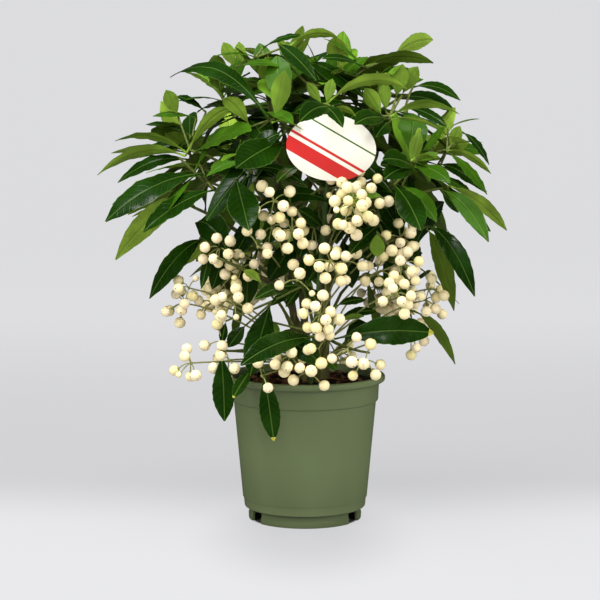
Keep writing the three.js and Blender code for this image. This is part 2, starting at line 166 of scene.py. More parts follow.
# Fruit heads of a shoot, and their berries.
HEAD_FAN = 62  # degrees to each side of the shoot
HEAD_SWING = 24  # degrees that a draw adds to that
HEAD_FEET = (0.1, 0.7)  # shares of the leafy end, where the first and the last head leave it
HEAD_REACHES = (24, 40)
HEAD_DROPS = (4, 22)
HEAD_BEND = 0.55  # share of the way out at which a head's stalk bends
HEAD_ARCH = 7
HEAD_SPACING = 24  # the least between two heads
HEAD_CONE = 105  # degrees from a head's axis to its outermost berries
FEWER_BERRIES = 5  # than the most, in the smallest head
RAY_SHARES = (0.85, 1.3)  # of the berry stalk's setting: the shortest and the longest
RAY_DROOP = 2.6
RIPE_SHARES = (0.86, 1.06)  # of the berry's setting: the smallest and the largest that is ripe
UNRIPE_SHARE = 0.55
RIPE_DRAW = 0.94  # under which a berry is ripe
BERRY_HEIGHT = 0.95  # share of its width
FLOWER_SCAR = 0.3  # share of a ball's first ring that is left for the scar of its flower
RING_SPREAD = 1.15  # that the other rings are spread by
RAY_END = 0.92  # share of the berry's radius, where its stalk ends
RAY_ARCH = 2.4
HUB_RADIUS = 1.35
CUP_SHAPE = (1.5, 1.5, 0.5)  # of the cup under a berry
# Berries are pushed apart and drawn back to their first place, a share at a time.
SETTLING_ROUNDS = 60
SETTLING_PUSH = 0.4
SETTLING_PULL = 0.02

# Leaf finishes: name, which is also its colour setting's, roughness and gloss.
LEAF_FINISHES = (
    ("leaf_deep", 0.19, 0.28), ("leaf_mid", 0.25, 0.26), ("leaf_fresh", 0.38, 0.22),
    ("under_deep", 0.6, 0.12), ("under_fresh", 0.58, 0.12), ("leaf_turning", 0.5, 0.2),
)
OLD, GROWN, YOUNG, OLD_UNDER, YOUNG_UNDER, TURNING = range(len(LEAF_FINISHES))
# Finish of the upper side, the underside and the tip of a measured leaf, by its name.
FINISHES = {
    "deep": (OLD, OLD_UNDER, None),
    "mid": (GROWN, OLD_UNDER, None),
    "fresh": (YOUNG, YOUNG_UNDER, None),
    "light": (GROWN, YOUNG_UNDER, None),
    "tipped": (OLD, OLD_UNDER, TURNING),
}
TURNED_TIP = 0.93  # where a turning tip starts
TURNING_DRAW = 0.985  # over which a grown leaf turns yellow
# Painted shade: leaves in the crown's middle take the old leaf's dark finish; elsewhere they are
# young, grown or old by age and a draw.
PAINTED_SHADE_BELOW = 320
PAINTED_SHADE_WITHIN = 80
AGE_WEIGHT, DRAW_WEIGHT = 0.75, 0.5
GROWN_MARK, OLD_UNDER_MARK, OLD_MARK = 0.24, 0.46, 0.58
LEAF_MAP = (40, 120)  # millimetres that a leaf's own map spans across and along
LEAF_STALK = 0.011  # half width of a leaf's stalk, as a share of the leaf's length
# Berry finishes: name, the draw under which a berry takes it, and its share of each colour part.
BERRY_TINTS = (
    ("berry_cream", 0.55, (1, 1, 1)), ("berry_ivory", 0.82, (1.02, 1.01, 1.14)),
    ("berry_green_cream", 1, (0.96, 0.965, 0.84)),
)
SCAR_COLOUR = (0.34, 0.22, 0.09)

# Seeds, one for each kind of choice. The first six are added to a shoot's or a limb's own number.
LEAF_SEED = 5019
FRUIT_SEED = 9000
LOOK_SEED = 7000
TIP_SEED = 3000
EXTRA_FRUIT_SEED = 4000
BARK_SEED = 11
CRUMB_SEED = 41
LITTER_SEED = 77
# A stream of draws: each is the last times the factor, within the range.
DRAW_FACTOR = 48271
DRAW_RANGE = 2147483647

# Pot and soil; the notches in the pot's foot ring are in metres.
NOTCH_HALF = 0.0075
POT_STEPS = 96
FOOT_STEPS = 28
SOIL_STEPS = 64
SOIL_RINGS = 18
SOIL_RADIUS = 57.6
SOIL_FOOT_RADIUS = 44
SOIL_FLOOR = 14
SOIL_SUNK = 0.5  # that the uneven top is under the solid's
CRUMBS = 420
CRUMBS_WITHIN = 55
CRUMB_SIZES = (0.7, 2.6)
CRUMB_STRETCHES = (0.7, 1.3)
CRUMB_KNOCKS = (0.8, 1.15)  # how far in or out a crumb's corners are
# Dead leaves: where their foot is, how long and how wide they are, and how they lie and fold.
SCRAPS = 46
SCRAPS_WITHIN = 54
SCRAP_FEET = (10, 50)
SCRAP_OVER = 1.6
SCRAP_LENGTHS = (7, 22)
SCRAP_WIDTHS = (0.1, 0.22)
SCRAP_RISES = (-0.05, 0.3)
SCRAP_RISE_IN = 0.12  # of one that is turned back from the pot's wall
SCRAP_ROLLS = (-0.6, 0.6)
SCRAP_SAGS = (0.1, 0.5)
SCRAP_FOLDS = (0.5, 1.2)

# Name card: blank, on a flat stick that stands in the soil.
CARD_TURN = 12.2
CARD_OUT = 92
CARD_Z = 303
CARD_ROLL = 6
STICK_FOOT = (CARD_TURN, 22, SOIL_TOP + CLEAR + 4 / 3)
STICK_TOP = Vector((0, 0.8, 10))  # from the card's middle
# Leaves keep off this half width and height of the card, and this far behind and before it.
CARD_GUARD = (35.5, 26.5)
CARD_GUARD_BACK = 2.5
CARD_GUARD_FRONT = 4
CARD_UPPER_EDGE = 12  # over this height a leaf may pass farther before the card
# Leaves and berries keep off the pot.
POT_GUARD_RADIUS = 66.5
POT_GUARD_OVER = 1.5
BERRY_RING = 71
BERRY_RING_OVER = 5
BERRY_LOWEST = 72

# Branches to what is measured leave their stem this far over the soil or under the stem's tip.
BRANCH_OVER_SOIL = 14
BRANCH_UNDER_TIP = 6
SPRAY_RISE = 52
HEAD_RISE = (34, 78)
BRANCH_BEND = (0.55, 0.85)  # shares of the way out and of the way up, where they bend

# The front of the plant, as a camera straight before it sees it in a frame of 600 by 600.
# A place is across, down and depth: millimetres behind the pot's middle, so less than 0 is nearer.
# A spray is its middle and its leaves. A leaf is foot, tip, arch, lean, half width and, unless that
# is deep, its finish. Lean is how far its upper side turns to the front, in degrees; less than 0
# shows its underside.
SPRAYS = (
    ((190, 150, -25), (
        ((187, 153, -25), (116, 140, -30), 1.2, -28, 0.18, "fresh"),
        ((185, 156, -30), (99, 173, -45), 1.2, -32, 0.20, "fresh"),
        ((187, 152, -30), (234, 109, -50), 1.2, -30, 0.14, "fresh"),
        ((195, 153, -35), (251, 131, -90), 0.5, 45, 0.23, "mid"),
        ((196, 118, -5), (153, 117, -15), 0.6, 20, 0.20, "mid"),
        ((190, 135, -15), (145, 125, -5), 0.5, 10, 0.20),
        ((178, 116, -10), (166, 90, -10), 0.1, -80, 0.34),
        ((206, 112, -4), (176, 97, -4), 0.6, 20, 0.25),
        ((188, 146, 8), (140, 158, 10), 0.7, 45, 0.24),
        ((190, 160, 0), (118, 182, 0), 1.0, 40, 0.17),
    )),
    ((208, 182, -40), (
        ((203, 174, -45), (105, 220, -70), 0.8, 35, 0.19),
        ((200, 165, -20), (148, 172, -50), 0.4, -30, 0.21, "fresh"),
        ((195, 190, -20), (128, 215, -30), 0.5, -30, 0.19, "light"),
        ((214, 190, -55), (143, 232, -85), 0.6, 40, 0.21),
        ((200, 195, -30), (116, 262, -30), 1.15, -58, 0.16, "fresh"),
    )),
    ((242, 178, -70), (
        ((236, 179, -85), (247, 231, -125), 0.3, 70, 0.27),
        ((250, 165, -70), (247, 222, -85), 0.3, -60, 0.13, "fresh"),
        ((286, 141, -75), (238, 170, -125), 0.4, 60, 0.26),
    )),
    ((270, 120, -60), (
        ((268, 118, -65), (173, 76, -40), 1.9, 40, 0.15),
        ((250, 127, -55), (222, 99, -85), 0.9, -50, 0.20, "fresh"),
        ((274, 119, -75), (287, 71, -70), 0.1, -80, 0.25),
        ((272, 122, -70), (303, 130, -98), 0.6, -30, 0.17, "light"),
        ((266, 113, -60), (293, 124, -100), 0.5, 50, 0.16, "mid"),
        ((246, 140, -50), (205, 150, -50), 0.5, 30, 0.20),
    )),
    ((305, 82, -45), (
        ((320, 86, -55), (280, 44, -40), 0.5, 60, 0.20),
        ((292, 69, -45), (241, 66, -55), 0.7, 30, 0.20, "mid"),
    )),
    ((327, 104, -78), (
        ((327, 103, -75), (408, 90, -85), 1.4, -25, 0.16, "light"),
        ((333, 108, -85), (300, 122, -135), 0.7, 50, 0.17),
        ((322, 106, -85), (341, 128, -125), 0.7, 40, 0.17),
        ((326, 104, -78), (333, 79, -70), 0.2, -70, 0.26),
        ((322, 104, -78), (306, 84, -72), 0.3, -70, 0.26),
    )),
    ((390, 116, -62), (
        ((390, 117, -65), (460, 115, -70), 1.5, -30, 0.19, "fresh"),
        ((391, 119, -70), (451, 138, -85), 0.8, -20, 0.17, "light"),
        ((389, 120, -70), (354, 123, -120), 0.5, 60, 0.17),
        ((390, 122, -72), (377, 137, -100), 0.5, 60, 0.26),
        ((396, 98, -45), (403, 64, -45), 0.1, -80, 0.32),
        ((402, 95, -40), (417, 66, -40), 0.1, -80, 0.32),
        ((382, 116, -60), (365, 88, -60), 0.2, -75, 0.30),
        ((386, 112, -55), (384, 82, -50), 0.2, -75, 0.26),
        ((358, 118, -70), (331, 109, -80), 1.0, -40, 0.22, "light"),
    )),
    ((366, 68, -15), (
        ((364, 68, -15), (324, 39, -10), 0.9, 10, 0.21, "mid"),
        ((366, 66, -20), (434, 64, -30), 0.9, -35, 0.17),
        ((362, 66, -25), (322, 58, -40), 0.6, 30, 0.20),
        ((392, 57, -5), (433, 40, 5), 0.9, -45, 0.25, "light"),
    )),
    ((409, 95, -15), (
        ((413, 87, -10), (460, 100, -5), 1.0, 35, 0.23),
        ((405, 108, -20), (447, 127, -25), 0.8, 40, 0.20),
        ((398, 98, 0), (456, 112, 4), 0.9, 45, 0.24),
        ((382, 94, 4), (424, 80, 8), 0.6, 20, 0.24, "mid"),
    )),
    ((411, 168, -88), (
        ((411, 168, -90), (419, 131, -85), 0.2, -80, 0.22),
        ((411, 160, -92), (438, 161, -100), 1.3, -40, 0.20, "fresh"),
        ((420, 155, -80), (445, 128, -112), 0.3, 50, 0.20, "mid"),
        ((417, 170, -95), (383, 160, -143), 0.5, 55, 0.17),
        ((417, 171, -95), (384, 179, -146), 0.6, 60, 0.17),
        ((413, 168, -92), (450, 183, -130), 0.8, 40, 0.18, "mid"),
        ((394, 185, -85), (424, 229, -143), 0.4, 65, 0.19),
        ((402, 186, -80), (436, 222, -122), 0.6, 55, 0.17, "mid"),
    )),
    ((447, 150, -28), (
        ((446, 150, -30), (491, 174, -40), 0.9, -35, 0.17, "light"),
        ((448, 153, -35), (486, 195, -55), 0.8, 15, 0.20, "mid"),
        ((462, 132, -15), (489, 165, -20), 0.9, 30, 0.24),
        ((448, 128, -15), (479, 119, -5), 0.5, -20, 0.17, "light"),
        ((450, 150, -25), (460, 126, -20), 0.1, -80, 0.32),
        ((438, 164, -12), (484, 190, -20), 0.8, 45, 0.24),
        ((436, 176, -16), (474, 198, -26), 0.6, 45, 0.22, "mid"),
    )),
    ((443, 188, -52), (
        ((441, 190, -60), (490, 240, -90), 1.0, 50, 0.16, "mid"),
        ((450, 186, -40), (506, 232, -40), 0.8, -40, 0.17, "light"),
        ((441, 190, -60), (458, 213, -75), 0.3, 50, 0.20),
    )),
    ((427, 227, -46), (
        ((428, 226, -50), (475, 296, -70), 1.3, 50, 0.17),
        ((427, 229, -45), (454, 311, -50), 1.2, -50, 0.165),
    )),
    ((414, 311, -38), (
        ((416, 312, -40), (455, 365, -45), 1.15, -50, 0.19),
    )),
    ((330, 336, -80), (
        ((335, 339, -85), (433, 330, -95), 0.35, 55, 0.20, "tipped"),
        ((318, 338, -80), (241, 366, -128), 0.7, 50, 0.15),
        ((284, 337, -85), (320, 363, -100), 0.3, 65, 0.30),
        ((338, 319, -60), (376, 311, -50), 0.5, 40, 0.20),
        ((337, 322, -65), (364, 316, -62), 0.5, -40, 0.18),
        ((336, 306, -70), (366, 300, -60), 0.5, 50, 0.22),
        ((267, 321, -50), (279, 334, -55), 0.2, 60, 0.34, "fresh"),
        ((325, 358, -55), (337, 370, -60), 0.2, 60, 0.34, "mid"),
    )),
    ((221, 351, -69), (
        ((221, 352, -70), (227, 421, -80), 0.15, 85, 0.205),
    )),
    ((262, 368, -85), (
        ((264, 371, -95), (274, 441, -100), 0.15, 80, 0.185, "tipped"),
        ((252, 368, -75), (233, 398, -100), 0.2, 70, 0.18, "tipped"),
    )),
    ((275, 300, -65), (
        ((271, 302, -60), (251, 376, -82), 0.3, 75, 0.23),
        ((246, 325, -52), (228, 347, -58), 0.3, 50, 0.34),
        ((226, 321, -45), (221, 343, -50), 0.2, 60, 0.24),
        ((303, 286, -85), (254, 299, -110), 0.6, 50, 0.17),
        ((262, 284, -70), (245, 270, -80), 0.5, -50, 0.26, "fresh"),
    )),
    ((207, 238, -40), (
        ((206, 238, -40), (150, 300, -55), 1.15, 48, 0.20),
        ((212, 246, -45), (202, 289, -60), 0.3, 70, 0.13),
        ((232, 238, -28), (214, 290, -44), 0.4, 60, 0.24),
        ((252, 252, -28), (244, 306, -46), 0.4, 60, 0.24),
        ((208, 240, -35), (186, 264, -35), 0.3, -45, 0.24, "light"),
    )),
    ((255, 58, -12), (
        ((263, 48, -10), (303, 36, -15), 0.8, 25, 0.20),
        ((290, 45, -20), (338, 38, -25), 1.2, -30, 0.19, "fresh"),
        ((258, 58, -20), (211, 58, -30), 0.8, 20, 0.16, "mid"),
        ((235, 68, -15), (224, 42, -10), 0.1, -80, 0.30),
        ((242, 66, -10), (238, 42, -5), 0.1, -80, 0.30),
    )),
    ((385, 240, -70), (
        ((377, 232, -95), (378, 257, -100), 0.1, -60, 0.38),
        ((380, 225, -60), (350, 255, -92), 0.4, 50, 0.19),
        ((370, 262, -60), (348, 247, -85), 0.3, 50, 0.17),
        ((410, 283, -60), (430, 272, -85), 0.3, 40, 0.17),
        ((394, 228, -35), (419, 266, -58), 0.4, 60, 0.27),
        ((382, 258, -30), (404, 298, -48), 0.4, 60, 0.27),
    )),
    ((318, 190, -70), (
        ((300, 165, -80), (279, 183, -115), 0.4, 55, 0.16),
        ((343, 187, -68), (312, 180, -84), 0.4, 70, 0.20),
        ((330, 236, -60), (298, 210, -90), 0.4, 50, 0.19),
        ((292, 208, -80), (284, 186, -100), 0.2, 40, 0.18, "mid"),
    )),
    ((322, 222, -18), (
        ((302, 204, -25), (262, 244, -38), 0.4, 60, 0.30),
        ((318, 206, -20), (300, 258, -34), 0.3, 60, 0.30),
        ((332, 192, -30), (338, 244, -44), 0.3, 60, 0.30),
        ((350, 212, -20), (374, 262, -34), 0.3, 60, 0.30),
        ((368, 218, -20), (406, 256, -34), 0.4, 60, 0.28),
        ((300, 236, -20), (270, 282, -34), 0.3, 60, 0.28),
        ((342, 238, -20), (352, 288, -34), 0.3, 60, 0.28),
        ((262, 212, -25), (236, 256, -36), 0.4, 60, 0.28),
        ((378, 198, -30), (402, 236, -48), 0.4, 60, 0.28),
        ((312, 240, -22), (318, 286, -34), 0.3, 60, 0.28, "mid"),
    )),
)
# Heads of fruit at the front: where their hub is seen, its depth, and their number of berries.
FRONT_HEADS = (
    (274, 201, -95, 6), (272, 228, -68, 6), (292, 230, -93, 8), (220, 248, -60, 8),
    (243, 268, -50, 9), (189, 288, -49, 4), (184, 303, -34, 7), (212, 303, -32, 6),
    (234, 303, -73, 8), (222, 342, -49, 4), (191, 363, -66, 6), (229, 360, -68, 5),
    (290, 357, -92, 8), (262, 376, -92, 2), (297, 280, -95, 4), (343, 181, -78, 10),
    (351, 205, -108, 12), (354, 218, -90, 7), (314, 228, -60, 5), (330, 262, -104, 8),
    (345, 262, -79, 7), (377, 272, -62, 8), (402, 264, -83, 9), (400, 238, -59, 10),
    (396, 294, -101, 8), (428, 289, -38, 6), (426, 300, -32, 5), (320, 315, -101, 11),
    (318, 350, -95, 4), (307, 373, -92, 3), (347, 350, -98, 3), (365, 361, -92, 5),
    (411, 335, -32, 6), (258, 247, -84, 2), (370, 192, -84, 6),
)
# The outline of the plant from the front: how far down, and the farthest leaf left and right.
SKYLINE = (
    (26, 268, 312), (42, 215, 436), (70, 170, 440), (92, 158, 464), (114, 138, 482),
    (130, 116, 486), (152, 104, 492), (170, 97, 494), (202, 106, 500), (230, 114, 504),
    (263, 114, 480), (296, 146, 478), (312, 160, 460), (330, 184, 446), (345, 215, 400),
    (352, 300, 301),
)
# Gaps where the sky shows through, seen from the front: middle, and half width and height.
SKY_GAPS = (
    (277, 318, 8, 12), (325, 322, 16, 20), (140, 252, 12, 14), (170, 232, 20, 11),
    (432, 250, 8, 20), (458, 226, 11, 9), (368, 44, 9, 8), (206, 52, 6, 6),
)
FRONT_WIDTH = 0.82  # of the half widths above, which take in the waves of the leaf's edge
EYE = Vector((-4, -1500, 340))  # the front camera, in millimetres
EYE_PITCH = 6.165  # degrees down
EYE_LENS = 112  # focal length in millimetres
EYE_SENSOR = 36
EYE_FRAME = 600
EYE_MIDDLE = EYE_FRAME / 2
EYE_REACH = EYE_LENS / EYE_SENSOR * EYE_FRAME  # from the eye to its picture, in the picture's steps
PITCH_COS = math.cos(math.radians(EYE_PITCH))
PITCH_SIN = math.sin(math.radians(EYE_PITCH))

# The studio: the floor's flat part, its bend and its wall in metres.
FLOOR_FLAT, FLOOR_BEND, FLOOR_WALL = 2.6, 1.4, 1.6
FLOOR_STEPS = 96
LIGHT_TARGET = (0, 0, 0.22)
# Area lights: name, place, width and height, power, and whether gloss shows them.
LIGHTS = (
    ("light_top", (-0.2, -0.5, 1.9), (1.5, 1.5), 58, False),
    ("light_left", (-1.5, -1.3, 1.2), (0.9, 1.2), 33, False),
    ("light_right", (1.5, -1.2, 1.0), (0.9, 1.2), 25, False),
    ("light_front", (0.2, -2.2, 0.9), (1.2, 1.2), 9, False),
    ("light_strip", (-0.5, -0.5, 1.5), (0.6, 0.2), 3.5, True),
    ("light_glint", (0.7, -0.7, 1.3), (0.4, 0.12), 2.2, True),
)


def metres(name, description, default):
    """A size setting."""
    return FloatProperty(name=name, description=description, default=default, unit="LENGTH")


class PotSizes(PropertyGroup):
    """Sizes of the pot"""

    height: metres("Height", "From the ground to the rim", POT_TOP * MM)
    rim: metres("Rim radius", "Outside of the beaded rim", 0.065)
    mouth: metres("Mouth radius", "Inside of the rim", 0.060)
    body_top: metres("Body top radius", "Body under the collar", 0.0578)
    body_foot: metres("Body foot radius", "Body over the foot band", 0.0506)
    foot: metres("Foot radius", "Outside of the foot ring", 0.046)
    wall: metres("Wall", "Thickness of the plastic", 0.0018)
    notches: IntProperty(
        name="Notches", description="Drain notches in the foot ring", default=3, min=1)


class PlantSizes(PropertyGroup):
    """Sizes of the leaves and the fruit"""

    leaf_share: FloatProperty(
        name="Leaf size", description="Share of each leaf's grown length",
        default=1.0, min=0.2, max=1.2)
    leaf_width: FloatProperty(
        name="Leaf half width", description="Share of a leaf's length",
        default=0.155, min=0.05, max=0.4)
    berry: metres("Berry radius", "Radius of a ripe berry", 0.0046)
    ray: metres("Berry stalk", "From the hub of a head to a berry", 0.0125)
    heads: IntProperty(
        name="Berries in a head", description="Most berries in one head", default=11, min=6, max=16)


class CardSizes(PropertyGroup):
    """Sizes of the name card"""

    width: metres("Width", "Across the oval", 0.068)
    height: metres("Height", "Up the oval", 0.050)
    thickness: metres("Thickness", "Thickness of the card", 0.0009)


def tint(name, description, colour):
    """A colour setting, its default given as a linear colour."""
    return FloatVectorProperty(
        name=name, description=description, default=colour, subtype="COLOR", size=3, min=0, max=1)


class PlantColours(PropertyGroup):
    """Colours of the plant and its pot"""

    leaf_deep: tint("Old leaf", "Upper side of an old leaf", (0.0045, 0.0200, 0.0005))
    leaf_mid: tint("Grown leaf", "Upper side of a grown leaf", (0.0240, 0.0720, 0.0022))
    leaf_fresh: tint("Young leaf", "Upper side of a young leaf", (0.074, 0.160, 0.008))
    # Undersides: the leaf's own paler underside, made brighter as painted light that shines through
    # the leaf.
    under_deep: tint("Old underside", "Underside of an old leaf", (0.080, 0.138, 0.011))
    under_fresh: tint("Young underside", "Underside of a young leaf", (0.215, 0.335, 0.034))
    midrib: tint("Midrib", "The rib along a leaf", (0.075, 0.135, 0.020))
    leaf_turning: tint("Turning leaf", "A leaf that turns yellow", (0.330, 0.300, 0.040))
    berry: tint("Berry", "A ripe berry", (0.870, 0.748, 0.420))
    stalk: tint("Fruit stalk", "Stalks of the fruit heads", (0.215, 0.225, 0.065))
    bark: tint("Bark", "Stems and branches", (0.062, 0.060, 0.017))
    twig: tint("Twig", "Green wood of the shoots", (0.085, 0.105, 0.020))
    pot: tint("Pot", "Moulded plastic of the pot", (0.108, 0.141, 0.058))
    soil: tint("Soil", "Damp potting soil", (0.010, 0.006, 0.0035))
    card: tint("Card", "Ground of the name card", (0.770, 0.735, 0.630))
    stripe: tint("Card stripe", "Bands on the name card", (0.520, 0.016, 0.014))
    stick: tint("Card stick", "Plastic stick of the name card", (0.045, 0.090, 0.020))


class StageSettings(PropertyGroup):
    """The studio round the plant"""

    distance: metres("Camera distance", "From the pot's middle", -EYE.y * MM)
    eye: metres("Camera height", "Above the floor", EYE.z * MM)
    lens: FloatProperty(name="Lens", description="Focal length in millimetres", default=EYE_LENS)
    floor: tint("Floor", "Studio floor and backdrop", (0.060, 0.060, 0.062))
    glow: tint("Floor glow", "Light that the studio paper gives back", (0.680, 0.680, 0.700))


class Value:
    """A socket in a material's nodes; arithmetic on it adds Math nodes"""

    def __init__(self, paint, socket):
        self.paint = paint
        self.socket = socket

    def math(self, operation, *others):
        return self.paint.math(operation, self, *others)

    def __add__(self, other):
        return self.math("ADD", other)

    def __sub__(self, other):
        return self.math("SUBTRACT", other)

    def __rsub__(self, other):
        return self.paint.math("SUBTRACT", other, self)

    def __mul__(self, other):
        return self.math("MULTIPLY", other)

    def __truediv__(self, other):
        return self.math("DIVIDE", other)

    def __rtruediv__(self, other):
        return self.paint.math("DIVIDE", other, self)

    __radd__ = __add__
    __rmul__ = __mul__

    def __abs__(self):
        return self.math("ABSOLUTE")

    def step(self, low, high, start=0.0, end=1.0):
        """Goes smoothly from start to end as this goes from low to high."""
        settings = {"interpolation_type": "SMOOTHSTEP"}
        inputs = {"Value": self, "From Min": low, "From Max": high, "To Min": start, "To Max": end}
        return self.paint.node("ShaderNodeMapRange", settings, inputs)


class Paint:
    """The nodes of one material"""

    def __init__(self, name, **constants):
        self.material = bpy.data.materials.new(name)
        self.material.use_nodes = True
        self.tree = self.material.node_tree
        self.shader = self.tree.nodes["Principled BSDF"]
        for socket, value in constants.items():
            self.shader.inputs[socket.replace("_", " ")].default_value = value

    def feed(self, socket, value):
        if isinstance(value, Value):
            self.tree.links.new(value.socket, socket)
        else:
            socket.default_value = value

    def node(self, kind, settings, inputs, output=0):
        """Any node: its settings first, then the values or links of its sockets."""
        made = self.tree.nodes.new(kind)
        for key, value in settings.items():
            setattr(made, key, value)
        for key, value in inputs.items():
            self.feed(made.inputs[key], value)
        return Value(self, made.outputs[output])

    def math(self, operation, *values):
        return self.node("ShaderNodeMath", {"operation": operation}, dict(enumerate(values)))

    def place(self, scale=(1, 1, 1), location=(0, 0, 0)):
        """Object coordinates, scaled and moved."""
        spot = self.node("ShaderNodeTexCoord", {}, {}, "Object")
        settings = {"Vector": spot, "Location": location, "Scale": scale}
        return self.node("ShaderNodeMapping", {}, settings)

    def noise(self, place, scale, detail=2.0, roughness=0.5):
        inputs = {"Vector": place, "Scale": scale, "Detail": detail, "Roughness": roughness}
        return self.node("ShaderNodeTexNoise", {}, inputs)

    def dots(self, place, scale):
        """How far each place is from the nearest of many scattered dots."""
        return self.node("ShaderNodeTexVoronoi", {}, {"Vector": place, "Scale": scale})

    def distance(self, place):
        """How far each place is from the middle."""
        return self.node("ShaderNodeVectorMath", {"operation": "LENGTH"}, {0: place}, 1)

    def blend(self, share, one, other):
        """One colour where share is 0 and the other where it is 1."""
        return self.node("ShaderNodeMix", {"data_type": "RGBA"}, {0: share, 6: one, 7: other}, 2)

    def shades(self, share, colour, one, other):
        """A colour made darker or lighter: by one where share is 0, by the other where it is 1."""
        return self.blend(share, solid_colour(colour, one), solid_colour(colour, other))

    def split(self, place):
        """The parts of a place."""
        node = self.node("ShaderNodeSeparateXYZ", {}, {0: place}).socket.node
        return [Value(self, socket) for socket in node.outputs]

    def leaf_map(self, name):
        """Across and along on one of a leaf's own maps."""
        return self.split(self.node("ShaderNodeUVMap", {"uv_map": name}, {}))[:2]

    def finish(self, colour, roughness=None, height=None, depth=0.0005, strength=0.5):
        """Links what varies, and gives back the material."""
        self.feed(self.shader.inputs["Base Color"], colour)
        if roughness is not None:
            self.feed(self.shader.inputs["Roughness"], roughness)
        if height is not None:
            inputs = {"Height": height, "Distance": depth, "Strength": strength}
            self.feed(self.shader.inputs["Normal"], self.node("ShaderNodeBump", {}, inputs))
        return self.material


def solid_colour(colour, share=1.0):
    """A colour setting as four numbers, made darker or lighter by a share."""
    return (*(min(1.0, c * share) for c in colour), 1.0)


def leaf_paint(name, colour, rib, roughness, gloss):
    """Leaf skin, from the leaf's own maps: a pale midrib and rim, side veins, soft blotches."""
    paint = Paint(name, Specular_IOR_Level=gloss)
    across, along = paint.leaf_map("leaf")
    to_edge, _ = paint.leaf_map("edge")
    rim = abs(to_edge - 0.5).step(0.462, 0.492)
    off_rib = abs(across - 0.5) * LEAF_MAP[0]
    down = along * LEAF_MAP[1]
    rib_line = off_rib.step(0.6, 0.2)
    wave = ((down - off_rib * 0.75) / 5.2).math("FRACT")
    vein = abs(wave - 0.5).step(0.40, 0.5) * off_rib.step(0.5, 2.5)
    blotch = paint.noise(paint.place(), 38.0)
    body = paint.shades(blotch.step(0.35, 0.7), colour, 0.78, 1.28)
    veined = paint.blend(vein * 0.07, body, solid_colour(rib))
    ribbed = paint.blend(rib_line * 0.45, veined, solid_colour(rib))
    skin = paint.blend(rim * 0.4, ribbed, solid_colour(rib))
    grain = paint.noise(paint.place(), 900.0, 1.0)
    height = off_rib.step(0.0, 1.6) - vein * 0.16 + grain * 0.08
    shine = blotch.step(0.2, 0.8, roughness - 0.05, roughness + 0.08)
    return paint.finish(skin, shine, height, 0.0006, 0.55)


def berry_paint(name, colour):
    """Berry skin: waxy cream with faint mottling."""
    paint = Paint(name, Coat_Weight=0.15, Coat_Roughness=0.25)
    place = paint.place()
    mottle = paint.noise(place, 260.0, 3.0)
    body = paint.shades(mottle.step(0.4, 0.75), colour, 1.0, 0.86)
    freckle = paint.dots(place, 900.0).step(0.16, 0.08)
    skin = paint.blend(freckle * 0.25, body, solid_colour(colour, 0.5))
    return paint.finish(skin, mottle.step(0.2, 0.8, 0.34, 0.46), mottle, 0.0002, 0.25)


def bark_paint(name, colour):
    """Stem bark: streaks along the stem, green patches and pale specks."""
    paint = Paint(name, Roughness=0.75)
    streaks = paint.noise(paint.place((1, 1, 0.16)), 620.0, 4.0, 0.6)
    patches = paint.noise(paint.place(), 70.0).step(0.45, 0.7)
    body = paint.shades(streaks.step(0.3, 0.7), colour, 0.55, 1.5)
    green = paint.blend(patches * 0.4, body, (0.07, 0.10, 0.02, 1))
    specks = paint.dots(paint.place((1, 1, 0.6)), 420.0).step(0.22, 0.12)
    skin = paint.blend(specks * 0.5, green, solid_colour(colour, 3.2))
    return paint.finish(skin, streaks.step(0.2, 0.8, 0.6, 0.85), streaks, 0.0006, 0.8)


def twig_paint(name, colour):
    """Green wood of a shoot, and fruit stalks."""
    paint = Paint(name)
    streaks = paint.noise(paint.place((1, 1, 0.3)), 500.0, 3.0)
    skin = paint.shades(streaks.step(0.3, 0.7), colour, 0.75, 1.3)
    return paint.finish(skin, streaks.step(0.2, 0.8, 0.45, 0.6), streaks, 0.0003, 0.4)


def pot_paint(name, colour):
    """Moulded plastic: a satin skin with a fine grain, flow streaks, a few specks, and a foot ring
    darkened with painted shade under the body.
    """
    paint = Paint(name, Coat_Weight=0.08, Coat_Roughness=0.35)
    flow = paint.noise(paint.place((1, 1, 0.25)), 22.0)
    grain = paint.noise(paint.place(), 1500.0)
    specks = paint.dots(paint.place(), 90.0).step(0.035, 0.02)
    body = paint.shades(flow.step(0.35, 0.7), colour, 0.94, 1.06)
    speckled = paint.blend(specks * 0.6, body, solid_colour(colour, 0.4))
    height = paint.split(paint.place())[2]
    # Painted shade: the foot ring, tucked under the body, is darker.
    skin = paint.blend(height.step(0.0115, 0.0085), speckled, solid_colour(colour, 0.72))
    return paint.finish(skin, flow.step(0.2, 0.8, 0.40, 0.50), grain, 0.0002, 0.12)


def soil_paint(name, colour):
    """Damp soil: dark crumbs with browner fibres."""
    paint = Paint(name)
    lumps = paint.noise(paint.place(), 260.0, 5.0, 0.65)
    fibres = paint.noise(paint.place((1, 0.3, 1)), 700.0, 3.0).step(0.60, 0.70)
    body = paint.shades(lumps.step(0.35, 0.7), colour, 0.5, 1.8)
    skin = paint.blend(fibres * 0.7, body, (0.050, 0.018, 0.008, 1))
    return paint.finish(skin, lumps.step(0.2, 0.8, 0.8, 1.0), lumps, 0.002, 0.9)


def dry_leaf_paint(name):
    """A dead leaf or scrap of bark on the soil."""
    paint = Paint(name)
    mottle = paint.noise(paint.place(), 240.0, 4.0)
    skin = paint.blend(mottle.step(0.35, 0.7), (0.045, 0.018, 0.008, 1), (0.14, 0.065, 0.026, 1))
    return paint.finish(skin, mottle.step(0.2, 0.8, 0.7, 0.9), mottle, 0.0006, 0.7)


